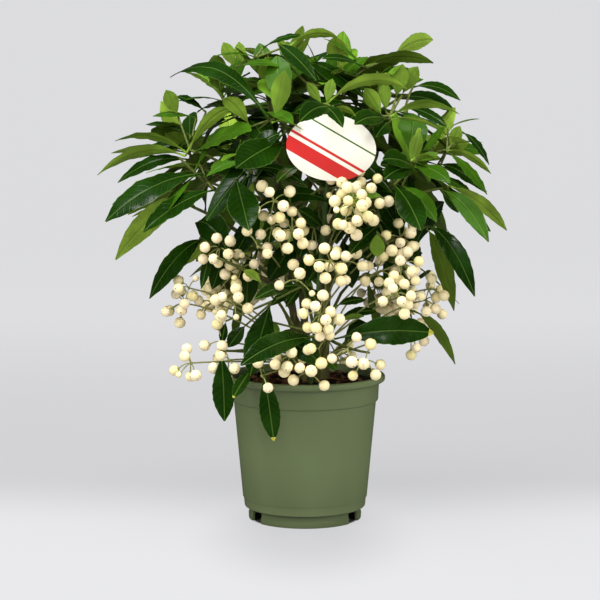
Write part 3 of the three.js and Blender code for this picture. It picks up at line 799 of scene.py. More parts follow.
def card_paint(name, colours):
    """Blank card: a cream ground with two plain bands and a thin green line."""
    paint = Paint(name, Coat_Weight=0.3, Coat_Roughness=0.2)
    spot = paint.place(location=-place(CARD_TURN, CARD_OUT, CARD_Z) * MM)
    across, _, up = paint.split(spot)
    tilt = math.radians(CARD_ROLL + 24)
    height = up * math.cos(tilt) + across * math.sin(tilt)
    wide = abs(height + 0.0125).step(0.0052, 0.0050)
    thin = abs(height + 0.0035).step(0.0011, 0.0009)
    line = abs(height - 0.0115).step(0.0007, 0.0005)
    fibre = paint.noise(spot, 900.0, 3.0)
    ground = paint.shades(fibre * 0.10, colours.card, 1.0, 0.8)
    green = paint.blend(line, ground, solid_colour(colours.leaf_mid, 1.6))
    skin = paint.blend(wide.math("MAXIMUM", thin), green, solid_colour(colours.stripe))
    return paint.finish(skin, fibre.step(0.2, 0.8, 0.35, 0.45), fibre, 0.0001, 0.1)


def floor_paint(name, settings):
    """Studio paper that glows by itself, with painted shade: a darker band behind the pot, a
    painted shadow round its front and black under it.
    """
    paint = Paint(name, Roughness=0.9, Specular_IOR_Level=0.1, Emission_Strength=1.0)
    spot = paint.place()
    back = paint.split(spot)[1]
    off_pot = paint.distance(paint.place((1.7, 1, 1), (0, 0.08, 0)))
    # Painted shade in the glow: a darker band behind the pot, a soft painted shadow round the pot's
    # front, and black right under the pot.
    painted_dusk = back.step(-0.04, 0.17) * 0.20 - back.step(0.2, 1.6) * 0.20
    shade = off_pot.step(0.17, 0.03) * 0.18 + paint.distance(spot).step(0.046, 0.042)
    glow = paint.blend(painted_dusk + shade, solid_colour(settings.glow), (0, 0, 0, 1))
    paint.feed(paint.shader.inputs["Emission Color"], glow)
    return paint.finish(paint.shades(paint.noise(spot, 3.0), settings.floor, 0.985, 1.0))


def corners(parts):
    """The corners among the parts that an operator gives back."""
    return [part for part in parts if isinstance(part, bmesh.types.BMVert)]


def press_out(shape):
    """Extrudes every face of a flat shape, and gives back the new corners."""
    made = bmesh.ops.extrude_face_region(shape, geom=shape.faces[:], use_keep_orig=True)
    return corners(made["geom"])


def soften(shape, steepest, offset):
    """Bevels the edges whose faces meet at more than that angle, in radians."""
    edges = [e for e in shape.edges if len(e.link_faces) == 2 and e.calc_face_angle() > steepest]
    bmesh.ops.bevel(
        shape, geom=edges, offset=offset, segments=2, profile=0.5, material=-1, affect="EDGES")


def turn_profile(shape, profile, steps):
    """Turns a profile round the upright axis into a closed skin."""
    spots = [shape.verts.new((r, 0, z)) for r, z in profile]
    edges = [shape.edges.new(pair) for pair in zip(spots, spots[1:])]
    bmesh.ops.spin(shape, geom=spots + edges, cent=(0, 0, 0), axis=(0, 0, 1), angle=math.tau,
                   steps=steps, use_merge=True)
    bmesh.ops.remove_doubles(shape, verts=shape.verts[:], dist=1e-6)
    bmesh.ops.recalc_face_normals(shape, faces=shape.faces[:])


class Form:
    """A small shape read from a bmesh, to be bent and repeated as arrays"""

    def __init__(self, shape):
        bmesh.ops.recalc_face_normals(shape, faces=shape.faces[:])
        shape.verts.index_update()
        self.points = np.array([v.co[:] for v in shape.verts])
        self.faces = [[v.index for v in face.verts] for face in shape.faces]
        self.normals = np.array([face.normal[:] for face in shape.faces])
        self.middles = np.array([face.calc_center_median()[:] for face in shape.faces])
        shape.free()


def rod_form(sides, steps):
    """A round rod, one across and one long, closed at both ends."""
    shape = bmesh.new()
    bmesh.ops.create_cone(
        shape, cap_ends=True, cap_tris=False, segments=sides, radius1=1, radius2=1, depth=1)
    long_edges = [e for e in shape.edges if abs(e.verts[0].co.z - e.verts[1].co.z) > 0.5]
    if steps > 1:
        bmesh.ops.subdivide_edges(shape, edges=long_edges, cuts=steps - 1, use_grid_fill=True)
    bmesh.ops.translate(shape, verts=shape.verts[:], vec=(0, 0, 0.5))
    return Form(shape)


def leaf_form(lengthways, crossways):
    """A leaf blank, two sheets that meet at the edge: -1 to 1 across in x, 0 to 1 along in y."""
    shape = bmesh.new()
    bmesh.ops.create_grid(shape, x_segments=crossways, y_segments=lengthways, size=1)
    bmesh.ops.translate(shape, verts=shape.verts[:], vec=(0, 1, 0))
    bmesh.ops.scale(shape, verts=shape.verts[:], vec=(1, 0.5, 1))
    copied = bmesh.ops.duplicate(shape, geom=shape.verts[:] + shape.edges[:] + shape.faces[:])
    lower = set(corners(copied["geom"]))
    for v in shape.verts:
        if abs(v.co.x) < 0.99:
            v.co.z = -0.1 if v in lower else 0.1
    bmesh.ops.remove_doubles(shape, verts=shape.verts[:], dist=0.001)
    bmesh.ops.holes_fill(shape, edges=[e for e in shape.edges if e.is_boundary], sides=0)
    return Form(shape)


def ball_form(segments, rings):
    """A ball, one in radius."""
    shape = bmesh.new()
    bmesh.ops.create_uvsphere(shape, u_segments=segments, v_segments=rings, radius=1)
    return Form(shape)


def lump_form():
    """A faceted ball, one in radius."""
    shape = bmesh.new()
    bmesh.ops.create_icosphere(shape, subdivisions=1, radius=1)
    return Form(shape)


class Heap:
    """Many small shapes gathered into one mesh"""

    def __init__(self):
        self.points = []
        self.faces = []
        self.finishes = []
        self.spots = []
        self.edges = []
        self.count = 0

    def add(self, points, form, finishes=None, spots=None, edges=None):
        """Adds a form at its bent points, with a finish for each face and a place on each map."""
        self.points.append(points)
        self.faces.extend([[i + self.count for i in face] for face in form.faces])
        self.finishes.extend(finishes or [0] * len(form.faces))
        blank = np.zeros((len(points), 2))
        self.spots.append(blank if spots is None else spots)
        self.edges.append(blank if edges is None else edges)
        self.count += len(points)

    def add_rod(self, form, path, radius_at, start=0, end=1, relief=None):
        """Adds a rod bent along a stretch of a path."""
        self.add(bend_rod(form, path, radius_at, start, end, relief), form)

    def build(self, name, materials, slot, replaced=(), sharp=60):
        """The mesh in metres, riding on the plant's only body."""
        mesh = bpy.data.meshes.new(name)
        points = np.concatenate(self.points) * MM
        mesh.from_pydata(points.tolist(), [], self.faces)
        for material in materials:
            mesh.materials.append(material)
        mesh.polygons.foreach_set("material_index", np.array(self.finishes, dtype=np.int32))
        ends = np.zeros(len(mesh.loops), dtype=np.int32)
        mesh.loops.foreach_get("vertex_index", ends)
        for name_of_map, spots in (("leaf", self.spots), ("edge", self.edges)):
            layer = mesh.uv_layers.new(name=name_of_map)
            layer.uv.foreach_set("vector", np.concatenate(spots)[ends].astype(np.float32).ravel())
        present(name, mesh, replaced, sharp)


def present(name, mesh, replaced, sharp):
    """Shades a mesh smooth between its sharp edges, and sets it in the frame."""
    mesh.polygons.foreach_set("use_smooth", [True] * len(mesh.polygons))
    mesh.set_sharp_from_angle(angle=math.radians(sharp))
    mesh.update()
    piece = bpy.data.objects.new(name, mesh)
    bpy.context.scene.collection.objects.link(piece)
    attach(piece, "root")
    if replaced:
        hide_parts(*replaced)


def from_bmesh(name, shape, material, replaced, sharp):
    """A piece from a bmesh."""
    mesh = bpy.data.meshes.new(name)
    shape.to_mesh(mesh)
    shape.free()
    mesh.materials.append(material)
    present(name, mesh, replaced, sharp)


def nodes_named(start):
    """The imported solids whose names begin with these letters."""
    return [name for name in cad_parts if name.startswith(start)]


def draws(seed):
    """A repeatable stream of numbers from 0 to 1."""
    state = seed

    def following():
        nonlocal state
        state = (state * DRAW_FACTOR) % DRAW_RANGE
        return state / DRAW_RANGE

    for _ in range(4):
        following()
    return following


def swing(random, width):
    """A draw from half a width under 0 to half a width over it."""
    return (random() - 0.5) * width


def mix(start, end, share):
    return start + (end - start) * share


def taper(radii):
    """A radius that goes evenly from the first to the second along a stretch."""
    return lambda share: mix(*radii, share)


def around(heading, turn, opening):
    """The direction that opens from a heading at a turn round it, and the way it opens to."""
    side = UP.cross(heading).normalized()
    over = heading.cross(side)
    away = side * math.cos(turn) + over * math.sin(turn)
    return heading * math.cos(opening) + away * math.sin(opening), away


def square(face, aim):
    """A direction made square to an aim."""
    return (face - aim * face.dot(aim)).normalized()


def outward(turn):
    """The level direction at a turn from the front."""
    angle = math.radians(turn)
    return Vector((math.sin(angle), -math.cos(angle), 0))


def place(turn, out, z):
    return outward(turn) * out + UP * z


class Path:
    """A smooth path from a start to an end, pulled towards a point between"""

    def __init__(self, start, pull, end):
        self.start = start
        self.pull = pull
        self.end = end

    def point(self, t):
        return self.start * (1 - t) ** 2 + self.pull * (2 * t * (1 - t)) + self.end * t**2

    def tangent(self, t):
        along = (self.pull - self.start) * (1 - t) + (self.end - self.pull) * t
        return along.normalized()

    def length(self):
        spots = [self.point(i / 200) for i in range(201)]
        return sum((b - a).length for a, b in zip(spots, spots[1:]))


def stem_path(turn, tip_z):
    """A stem's path from just under the soil, out and up to its tip."""
    return Path(
        place(turn, STEM_FOOT_OUT, SOIL_TOP - STEM_FOOT_UNDER) + Vector((STEM_FOOT_ASIDE, 0, 0)),
        place(turn, STEM_BEND_OUT, STEM_BEND_Z),
        place(turn, STEM_TIP_OUT, tip_z),
    )


def nearest_stem(stems, turn):
    return min(stems, key=lambda stem: abs((turn - stem["turn"] + 540) % 360 - 180))


def crown_shoot(tier, stem):
    """A shoot that goes straight on from a stem's tip."""
    along = stem["path"].tangent(1)
    start = stem["path"].point(1) + along * CLEAR
    pull = start + along * (tier["leafy"] / 2)
    tilt = math.radians(tier["tilt"])
    way = outward(stem["turn"]) * math.sin(tilt) + UP * math.cos(tilt)
    return Path(start, pull, pull + way * (tier["leafy"] / 2)), 0.0


def side_shoot(tier, index, random, stems):
    """A branch from the nearest stem to its place in the tier: its turn, path and leafy share."""
    turn = tier["first"] + index * 360 / tier["count"] + swing(random, tier["jitter"])
    out = tier["out"] + swing(random, tier["jitter"])
    height = tier["z"] + (-tier["stagger"] if index % 2 else tier["stagger"])
    tip = place(turn, out, height + swing(random, 2 * tier["jitter"]))
    tip.y -= CROWN_LEAN
    stem = nearest_stem(stems, turn)
    start = stem["path"].point(mix(*tier["attach"], (index * GOLDEN_SHARE) % 1))
    tilt = math.radians(tier["tilt"])
    heading = outward(turn) * math.sin(tilt) + UP * math.cos(tilt)
    path = Path(start, tip - heading * (0.5 * (tip - start).length), tip)
    return turn, path, 1 - tier["leafy"] / path.length()


def grow_shoots():
    """The stems, and the path of every shoot with its seed, in the order of the solids."""
    stems = [dict(turn=t, path=stem_path(t, z)) for t, z in zip(STEM_TURNS, STEM_TIPS)]
    shoots = []
    for rank, tier in enumerate(TIERS):
        for i in range(tier["count"]):
            seed = 100 * (rank + 1) + i
            if tier["name"] == "crown":
                path, leafy = crown_shoot(tier, stems[i])
                turn = stems[i]["turn"]
            elif tier["name"] == "shoulder" and i == 0:
                continue  # the card stands in this place
            else:
                turn, path, leafy = side_shoot(tier, i, draws(seed), stems)
            shoots.append(dict(tier=tier, seed=seed, turn=turn, path=path, leafy=leafy))
    return stems, shoots


def from_front(across, down, depth):
    """The point at that depth which the front camera sees there."""
    up = EYE_MIDDLE - down
    way = Vector((across - EYE_MIDDLE, EYE_REACH * PITCH_COS + up * PITCH_SIN,
                  up * PITCH_COS - EYE_REACH * PITCH_SIN))
    return EYE + way * ((depth - EYE.y) / way.y)


def seen_at(points):
    """Where the front camera sees each point: across and down."""
    off = points - np.array(EYE)
    far = off[:, 1] * PITCH_COS - off[:, 2] * PITCH_SIN
    up = off[:, 1] * PITCH_SIN + off[:, 2] * PITCH_COS
    return EYE_MIDDLE + off[:, 0] / far * EYE_REACH, EYE_MIDDLE - up / far * EYE_REACH


def spray_leaf(foot, tip, arch, lean, width, finish="deep"):
    """A leaf between two places at the front."""
    start, end = from_front(*foot), from_front(*tip)
    chord = (end - start).length
    reach = end - start + UP * (0.5 * arch * chord)
    length, aim = reach.length, reach.normalized()
    turn = math.radians(lean)
    face = square(UP * math.cos(turn) + FRONT * math.sin(turn), aim)
    return dict(foot=start, aim=aim, face=face, length=length, sag=arch * chord / length,
                width=FRONT_WIDTH * width * chord / length, finish=finish)


def branch_to(stems, end, rise):
    """A path from the nearest stem out to a place, leaving the stem that much lower."""
    turn = math.degrees(math.atan2(end.x, -end.y))
    stem = nearest_stem(stems, turn)["path"]
    height = min(max(end.z - rise, SOIL_TOP + BRANCH_OVER_SOIL), stem.end.z - BRANCH_UNDER_TIP)
    t = min((i / 100 for i in range(101)), key=lambda i: abs(stem.point(i).z - height))
    start = stem.point(t)
    level = Vector((end.x - start.x, end.y - start.y, 0))
    out, up = BRANCH_BEND
    return Path(start, start + level * out + UP * (end.z - start.z) * up, end)


def room_for(foot, aim, sag):
    """How long a leaf can grow before its tip would leave the crown."""
    sideways = math.hypot(aim.x, aim.y)
    rise = max(aim.z - 0.5 * sag, 0.01)
    return min((CROWN_REACH - math.hypot(foot.x, foot.y)) / sideways, (CROWN_TOP - foot.z) / rise)


def leaves_of(shoot):
    """The leaves of a shoot, oldest and lowest first, each turned on from the last."""
    tier, path = shoot["tier"], shoot["path"]
    random = draws(shoot["seed"] + LEAF_SEED)
    heading = path.tangent(1)
    phase = random() * 360
    leaves = []
    for i in range(tier["leaves"]):
        age = 1 - i / (tier["leaves"] - 1)
        turn = math.radians(phase + i * GOLDEN_TURN + swing(random, TURN_SWING))
        opening = math.radians(mix(tier["open_tip"], tier["open_foot"], age))
        aim, away = around(heading, turn, opening)
        wish = tier["leaf"] * mix(YOUNG_LENGTH, 1, math.sqrt(age)) * mix(*LENGTH_SHARES, random())
        level = min(max(1 + aim.z, 0.2), 1)
        sag = tier["sag"] * level * mix(YOUNG_SAG, 1, age) * mix(*SAG_SHARES, random())
        roll = math.radians(swing(random, ROLL_SWING))
        face = square(heading + UP * FACE_UP - away * FACE_IN, aim)
        face.rotate(Quaternion(aim, roll))
        foot = path.point(mix(1, shoot["leafy"], mix(*LEAF_FEET, age)))
        length = min(wish, room_for(foot, aim, sag))
        leaves.append(dict(foot=foot, aim=aim, face=face, length=length, sag=sag, age=age))
    return leaves


def tip_leaves_of(shoot):
    """The small young leaves that close the end of a shoot."""
    path = shoot["path"]
    random = draws(shoot["seed"] + TIP_SEED)
    heading = path.tangent(1)
    phase = random() * 360
    leaves = []
    for i in range(TIP_LEAVES):
        youth = i / (TIP_LEAVES - 1)
        turn = math.radians(phase + i * GOLDEN_TURN)
        aim, away = around(heading, turn, math.radians(mix(*TIP_OPENINGS, youth)))
        face = square(heading - away * TIP_FACE_IN, aim)
        foot = path.point(1 - TIP_SPACING * (TIP_LEAVES - i))
        sag = mix(*TIP_SAGS, random())
        wish = mix(*TIP_LENGTHS, youth) * mix(*TIP_LENGTH_SHARES, random())
        length = min(wish, room_for(foot, aim, sag))
        leaves.append(dict(foot=foot, aim=aim, face=face, length=length, sag=sag, age=TIP_AGE))
    return leaves


def heads_of(shoot, count, seed):
    """The heads of fruit of a shoot: where each stalk starts, bends and ends."""
    path = shoot["path"]
    random = draws(shoot["seed"] + seed)
    heads = []
    for i in range(count):
        share = (i + 0.5) / count
        start = path.point(mix(shoot["leafy"], 1, mix(*HEAD_FEET, share)))
        fan = mix(-HEAD_FAN, HEAD_FAN, share) + swing(random, HEAD_SWING)
        way = outward(shoot["turn"] + fan)
        reach = mix(*HEAD_REACHES, random())
        drop = mix(*HEAD_DROPS, random())
        pull = start + way * (reach * HEAD_BEND) + UP * HEAD_ARCH
        end = start + way * reach - UP * drop
        heads.append(dict(path=Path(start, pull, end), phase=random() * 360))
    return heads


def berry_ways(head, count):
    """Directions from a head's hub to its berries, most of them out and down."""
    axis = (head["path"].end - head["path"].pull).normalized()
    cap = 1 - math.cos(math.radians(HEAD_CONE))
    ways = []
    for i in range(count):
        lean = math.acos(1 - (i + 0.5) / count * cap)
        way, _ = around(axis, math.radians(head["phase"] + i * GOLDEN_TURN), lean)
        ways.append(way)
    return ways


def as_array(vectors):
    return np.array([v[:] for v in vectors], dtype=float)


def unit(vectors):
    return vectors / np.linalg.norm(vectors, axis=-1, keepdims=True)


def leaf_outline(s):
    """Half width along a leaf, as a share of its widest: a stalk, a long wedge, then the blade."""
    stalk, wedge, point = 0.06, 1.2, 0.88
    blade = np.clip((s - stalk) / (1 - stalk), 0, 1)
    shape = blade**wedge * (1 - blade) ** point
    both = wedge + point
    widest = (wedge / both) ** wedge * (point / both) ** point
    return shape / widest * (1 - 0.1 * blade**8)


def bend_leaf(form, leaf, look, width):
    """A leaf blank bent to one leaf: its points, and their places on its own map."""
    u, s, side = form.points[:, 0], form.points[:, 1], form.points[:, 2] * 10
    length = leaf["length"]
    foot, aim, up = np.array(leaf["foot"]), np.array(leaf["aim"]), np.array(UP)
    across = np.cross(aim, np.array(leaf["face"]))
    s_row = s[:, None]
    spine = foot + aim * s_row * length - up * 0.5 * leaf["sag"] * s_row**2 * length
    spine = spine + across * (look["bow"] * s_row**2 * length)
    along = unit(aim - up * leaf["sag"] * s_row + across * 2 * look["bow"] * s_row)
    normal = unit(np.cross(across, along))
    level = np.cross(along, normal)
    twist = (look["twist"] * s)[:, None]
    level, normal = (level * np.cos(twist) + normal * np.sin(twist),
                     normal * np.cos(twist) - level * np.sin(twist))
    half = leaf_outline(s) * width * look["width"] * length
    half = np.maximum(half, LEAF_STALK * length)
    teeth = np.where(np.round(s * look["steps"]).astype(int) % 2 == 0, 1.0, BETWEEN_TEETH)
    half = half * np.where(np.abs(u) > EDGE_FROM, teeth, 1.0)
    off = u * half
    ripple = np.sin(s * look["waves"] * math.tau + look["phase"] + np.where(u > 0, 0, EDGE_LAG))
    cup = np.abs(off) * (look["fold"] - look["curl"] * np.abs(u))
    rise = cup + ripple * look["ripple"] * half * np.abs(u) ** 3
    thick = BLADE_THICK + FOOT_THICK * np.exp(-((s / FOOT_FADE) ** 2))
    rib = np.where((side < 0) & (np.abs(u) < 0.1), RIB_DEPTH * (1 - s), 0)
    points = spine + level * off[:, None] + normal * (rise + side * thick - rib)[:, None]
    return points, np.stack([0.5 + off / LEAF_MAP[0], s * length / LEAF_MAP[1]], axis=1)


def bend_rod(form, path, radius_at, start, end, relief):
    """A rod bent along a stretch of a path, with a radius for each share of that stretch."""
    share = form.points[:, 2]
    t = start + (end - start) * share
    angle = np.arctan2(form.points[:, 1], form.points[:, 0])
    spots = as_array([path.point(x) for x in t])
    along = as_array([path.tangent(x) for x in t])
    first = np.cross(np.array(UP), np.array(path.end - path.start))
    if np.linalg.norm(first) < 1e-6:
        first = np.array((1.0, 0, 0))
    across = unit(first - along * (along @ first)[:, None])
    over = np.cross(across, along)
    radius = np.array([radius_at(x) for x in share])
    if relief is not None:
        radius = radius * relief(t, angle)
    radius = np.where(np.hypot(form.points[:, 0], form.points[:, 1]) < 1e-6, 0, radius)
    off_across = across * (np.cos(angle) * radius)[:, None]
    off_over = over * (np.sin(angle) * radius)[:, None]
    return spots + off_across - off_over


def leaf_look(random):
    """The small differences between one leaf and the next."""
    return dict(
        steps=20,
        width=mix(0.9, 1.1, random()),
        bow=mix(-0.05, 0.05, random()),
        twist=mix(-0.3, 0.3, random()),
        fold=mix(0.08, 0.34, random()),
        curl=mix(0.05, 0.3, random()),
        waves=mix(3.2, 5.2, random()),
        phase=random() * math.tau,
        ripple=mix(0.02, 0.07, random()),
        shade=random(),
        yellow=random(),
    )


def in_the_way(points):
    """Whether a leaf runs through the card or in front of it, or into the pot."""
    card = place(CARD_TURN, CARD_OUT, CARD_Z)
    across, depth, up = points[:, 0] - card.x, points[:, 1] - card.y, points[:, 2] - card.z
    roll = math.radians(CARD_ROLL)
    x = across * math.cos(roll) - up * math.sin(roll)
    z = across * math.sin(roll) + up * math.cos(roll)
    inside = (x / CARD_GUARD[0]) ** 2 + (z / CARD_GUARD[1]) ** 2 < 1
    near = (z < CARD_UPPER_EDGE) | (depth > -CARD_GUARD_FRONT)
    at_card = inside & near & (depth < CARD_GUARD_BACK)
    low = points[:, 2] < POT_TOP + POT_GUARD_OVER
    in_pot = low & (np.hypot(points[:, 0], points[:, 1]) < POT_GUARD_RADIUS)
    return bool(np.any(at_card) or np.any(in_pot))


class FrontView:
    """What the measured leaves and berries cover, seen from the front"""

    cell = 7
    far = 999

    def __init__(self):
        self.nearest = {}

    def cells(self, points):
        across, down = seen_at(points)
        return zip((across // self.cell).astype(int), (down // self.cell).astype(int))

    def cover(self, points):
        for spot, depth in zip(self.cells(points), points[:, 1]):
            self.nearest[spot] = min(self.nearest.get(spot, self.far), depth)

    def hidden_by(self, points):
        """Share of these points that would stand before what is covered."""
        seen = zip(self.cells(points), points[:, 1])
        hits = [self.nearest.get(spot, -self.far) > depth + 1 for spot, depth in seen]
        return sum(hits) / len(hits)


def off_outline(points):
    """Whether the front would see a leaf outside the plant's outline, or in a gap in it."""
    across, down = seen_at(points)
    rows, left, right = np.array(SKYLINE).T
    beside = (across < np.interp(down, rows, left)) | (across > np.interp(down, rows, right))
    return np.mean(beside | (down > rows[-1])) > OUTSIDE_SHARE or fills_gap(points)


def fills_gap(points):
    """Whether a point is seen from the front in a gap of the crown."""
    across, down = seen_at(points)
    in_gap = [((across - x) / wide) ** 2 + ((down - y) / high) ** 2 < 1
              for x, y, wide, high in SKY_GAPS]
    return bool(np.any(in_gap))


def leaf_finish(leaf, look):
    """Which upper and which under finish a leaf takes: the old leaf's dark finish as painted shade
    inside the crown, else by its age.
    """
    if look["yellow"] > TURNING_DRAW:
        return TURNING, YOUNG_UNDER
    foot = leaf["foot"]
    # Painted shade: a leaf whose foot is in the crown's middle takes the old leaf's dark finish.
    if foot.z < PAINTED_SHADE_BELOW and math.hypot(foot.x, foot.y) < PAINTED_SHADE_WITHIN:
        return OLD, OLD_UNDER
    mark = leaf["age"] * AGE_WEIGHT + look["shade"] * DRAW_WEIGHT
    upper = OLD if mark > OLD_MARK else GROWN if mark > GROWN_MARK else YOUNG
    return upper, OLD_UNDER if mark > OLD_UNDER_MARK else YOUNG_UNDER


def lay_leaf(heap, form, bent, upper, under, tip=None):
    """Adds a bent leaf with the finishes of its upper side, its underside and its tip."""
    points, spots = bent
    finishes = [upper if n > 0.5 else under for n in form.normals[:, 2]]
    if tip is not None:
        finishes = [tip if y > TURNED_TIP else f for f, y in zip(finishes, form.middles[:, 1])]
    heap.add(points, form, finishes, spots, form.points[:, :2] * 0.5 + 0.5)


def build_front_leaves(form, view, plant, materials):
    """The measured leaves of the front; view learns what they cover."""
    heap = Heap()
    random = draws(LOOK_SEED)
    for _, leaves in SPRAYS:
        for measured in leaves:
            leaf = spray_leaf(*measured)
            leaf["length"] *= plant.leaf_share
            look = dict(leaf_look(random), width=1)
            bent = bend_leaf(form, leaf, look, leaf["width"])
            lay_leaf(heap, form, bent, *FINISHES[leaf["finish"]])
            view.cover(bent[0])
    heap.build("leaves_front", materials, "foliage")


def fit_leaf(leaf, look, form, view, plant):
    """A leaf bent at the first of its sizes that keeps off card, pot, gaps and measured front."""
    for size in LEAF_SIZES:
        grown = dict(leaf, length=leaf["length"] * size * plant.leaf_share)
        bent = bend_leaf(form, grown, look, plant.leaf_width)
        clear = not in_the_way(bent[0]) and not off_outline(bent[0])
        if clear and view.hidden_by(bent[0]) < HIDING_SHARE:
            return bent
    return None


def build_leaves(tier, shoots, form, view, plant, materials):
    """The leaves of one tier. One that would hide the measured front is shorter, or left out."""
    heap = Heap()
    for shoot in (s for s in shoots if s["tier"] is tier):
        random = draws(shoot["seed"] + LOOK_SEED)
        for leaf in leaves_of(shoot) + tip_leaves_of(shoot):
            look = leaf_look(random)
            bent = fit_leaf(leaf, look, form, view, plant)
            if bent:
                lay_leaf(heap, form, bent, *leaf_finish(leaf, look))
    name = tier["name"]
    heap.build("leaves_" + name, materials, "foliage", nodes_named("foliage_" + name))


class CORALBERRY_OT_pot(Operator):
    """Moulds the pot"""

    bl_idname = "coralberry.pot"
    bl_label = "Pot"

    def execute(self, context):
        pot = context.scene.coralberry_pot
        shape = bmesh.new()
        turn_profile(shape, pot_profile(pot), POT_STEPS)
        for i in range(pot.notches):
            foot_arc(shape, pot, i)
        soften(shape, 0.6, 0.0004)
        finish = pot_paint("pot_plastic", context.scene.coralberry_colours.pot)
        from_bmesh("pot_shell", shape, finish, ["pot"], 35)
        return {"FINISHED"}


def pot_profile(pot):
    """The pot's section, from the middle of its underside round to the middle of its floor."""
    bead = pot.height - 0.0044
    collar = pot.height - 0.0207
    band = 0.010
    body = 0.0182
    floor = band + pot.wall
    return [
        (0, band), (pot.foot + 0.0024, band), (pot.foot + 0.0032, band + 0.0006),
        (pot.foot + 0.0038, body - 0.0012), (pot.body_foot - 0.0003, body - 0.0004),
        (pot.body_foot, body), (mix(pot.body_foot, pot.body_top, 0.5), mix(body, collar, 0.5)),
        (pot.body_top, collar - 0.0006), (pot.body_top + 0.0014, collar),
        (pot.body_top + 0.0017, collar + 0.0006), (pot.body_top + 0.0024, bead - 0.0015),
        (pot.rim - 0.0014, bead - 0.0008), (pot.rim - 0.0002, bead), (pot.rim, bead + 0.0012),
        (pot.rim, pot.height - 0.0014), (pot.rim - 0.0005, pot.height - 0.0004),
        (pot.rim - 0.0016, pot.height), (pot.mouth + 0.0006, pot.height),
        (pot.mouth, pot.height - 0.0005), (pot.body_top + 0.0006, bead - 0.0015),
        (pot.body_top - pot.wall, collar), (pot.body_foot - pot.wall, floor + 0.004),
        (pot.foot - pot.wall, floor), (0, floor),
    ]


def foot_arc(shape, pot, index):
    """One stretch of the foot ring between two notches."""
    gap = 2 * math.asin(NOTCH_HALF / pot.foot)
    sweep = math.tau / pot.notches - gap
    start = math.pi / 2 + index * math.tau / pot.notches + gap / 2
    section = [(pot.foot - 0.003, 0.0104), (pot.foot - 0.003, 0.0), (pot.foot - 0.0002, 0.0),
               (pot.foot, 0.0048), (pot.foot - 0.0007, 0.0052), (pot.foot - 0.0007, 0.0104)]
    ring = [shape.verts.new((r * math.cos(start), r * math.sin(start), z)) for r, z in section]
    edges = [shape.edges.new((a, b)) for a, b in zip(ring, ring[1:] + ring[:1])]
    shape.faces.new(ring)
    turned = bmesh.ops.spin(
        shape, geom=edges, cent=(0, 0, 0), axis=(0, 0, 1), angle=sweep, steps=FOOT_STEPS)
    end_edges = [e for e in turned["geom_last"] if isinstance(e, bmesh.types.BMEdge)]
    bmesh.ops.contextual_create(shape, geom=end_edges)
    arc = {face for v in ring + corners(turned["geom_last"]) for face in v.link_faces}
    reached = set(arc)
    while arc:
        arc = {g for f in arc for e in f.edges for g in e.link_faces} - reached
        reached |= arc
    bmesh.ops.recalc_face_normals(shape, faces=list(reached))


class CORALBERRY_OT_soil(Operator):
    """Fills the pot with soil, crumbs and dead leaves"""

    bl_idname = "coralberry.soil"
    bl_label = "Soil"

    def execute(self, context):
        soil, litter = Heap(), Heap()
        lay_soil(soil)
        strew_crumbs(soil)
        strew_litter(litter)
        damp = soil_paint("damp_soil", context.scene.coralberry_colours.soil)
        soil.build("soil", [damp], "soil", ["potting_soil"])
        litter.build("soil_litter", [dry_leaf_paint("dry_leaf")], "soil")
        return {"FINISHED"}


def soil_relief(x, y):
    """How high the soil stands over its level, in millimetres."""
    broad = math.sin(x * 0.11 + 1.3) * math.cos(y * 0.13 + 0.4) * 1.5
    fine = math.sin(x * 0.53 + y * 0.37) * math.cos(y * 0.61 - x * 0.23) * 0.8
    return broad + fine


def lay_soil(heap):
    """The soil body, with an uneven top."""
    shape = bmesh.new()
    turn_profile(shape, [(i / SOIL_RINGS, 0) for i in range(SOIL_RINGS + 1)], SOIL_STEPS)
    for v in press_out(shape):
        v.co.z = -1
    form = Form(shape)
    points = form.points.copy()
    upper = points[:, 2] > -0.5
    x, y = points[:, 0] * SOIL_RADIUS, points[:, 1] * SOIL_RADIUS
    relief = np.array([soil_relief(a, b) for a, b in zip(x, y)])
    edge = 1 - np.clip(np.hypot(points[:, 0], points[:, 1]), 0, 1) ** 6
    points[:, 0] = np.where(upper, x, points[:, 0] * SOIL_FOOT_RADIUS)
    points[:, 1] = np.where(upper, y, points[:, 1] * SOIL_FOOT_RADIUS)
    points[:, 2] = np.where(upper, SOIL_TOP + relief * edge - SOIL_SUNK, SOIL_FLOOR)
    heap.add(points, form)


def strew_crumbs(heap):
    """Crumbs that lie on the soil."""
    form = lump_form()
    random = draws(CRUMB_SEED)
    for _ in range(CRUMBS):
        turn, out = random() * 360, CRUMBS_WITHIN * math.sqrt(random())
        size = mix(*CRUMB_SIZES, random() ** 2)
        spot = on_soil(turn, out, size * 0.1)
        stretch = np.array([mix(*CRUMB_STRETCHES, random()) for _ in range(3)])
        knock = np.array([mix(*CRUMB_KNOCKS, random()) for _ in range(len(form.points))])
        turned = Matrix.Rotation(random() * math.tau, 3, "Z")
        turned = turned @ Matrix.Rotation(random() * 2, 3, "X")
        points = form.points * stretch * knock[:, None] * size
        heap.add(points @ np.array(turned).T + np.array(spot), form)


def on_soil(turn, out, over):
    """A place over the soil's uneven top."""
    spot = place(turn, out, 0)
    spot.z = SOIL_TOP + soil_relief(spot.x, spot.y) + over
    return spot


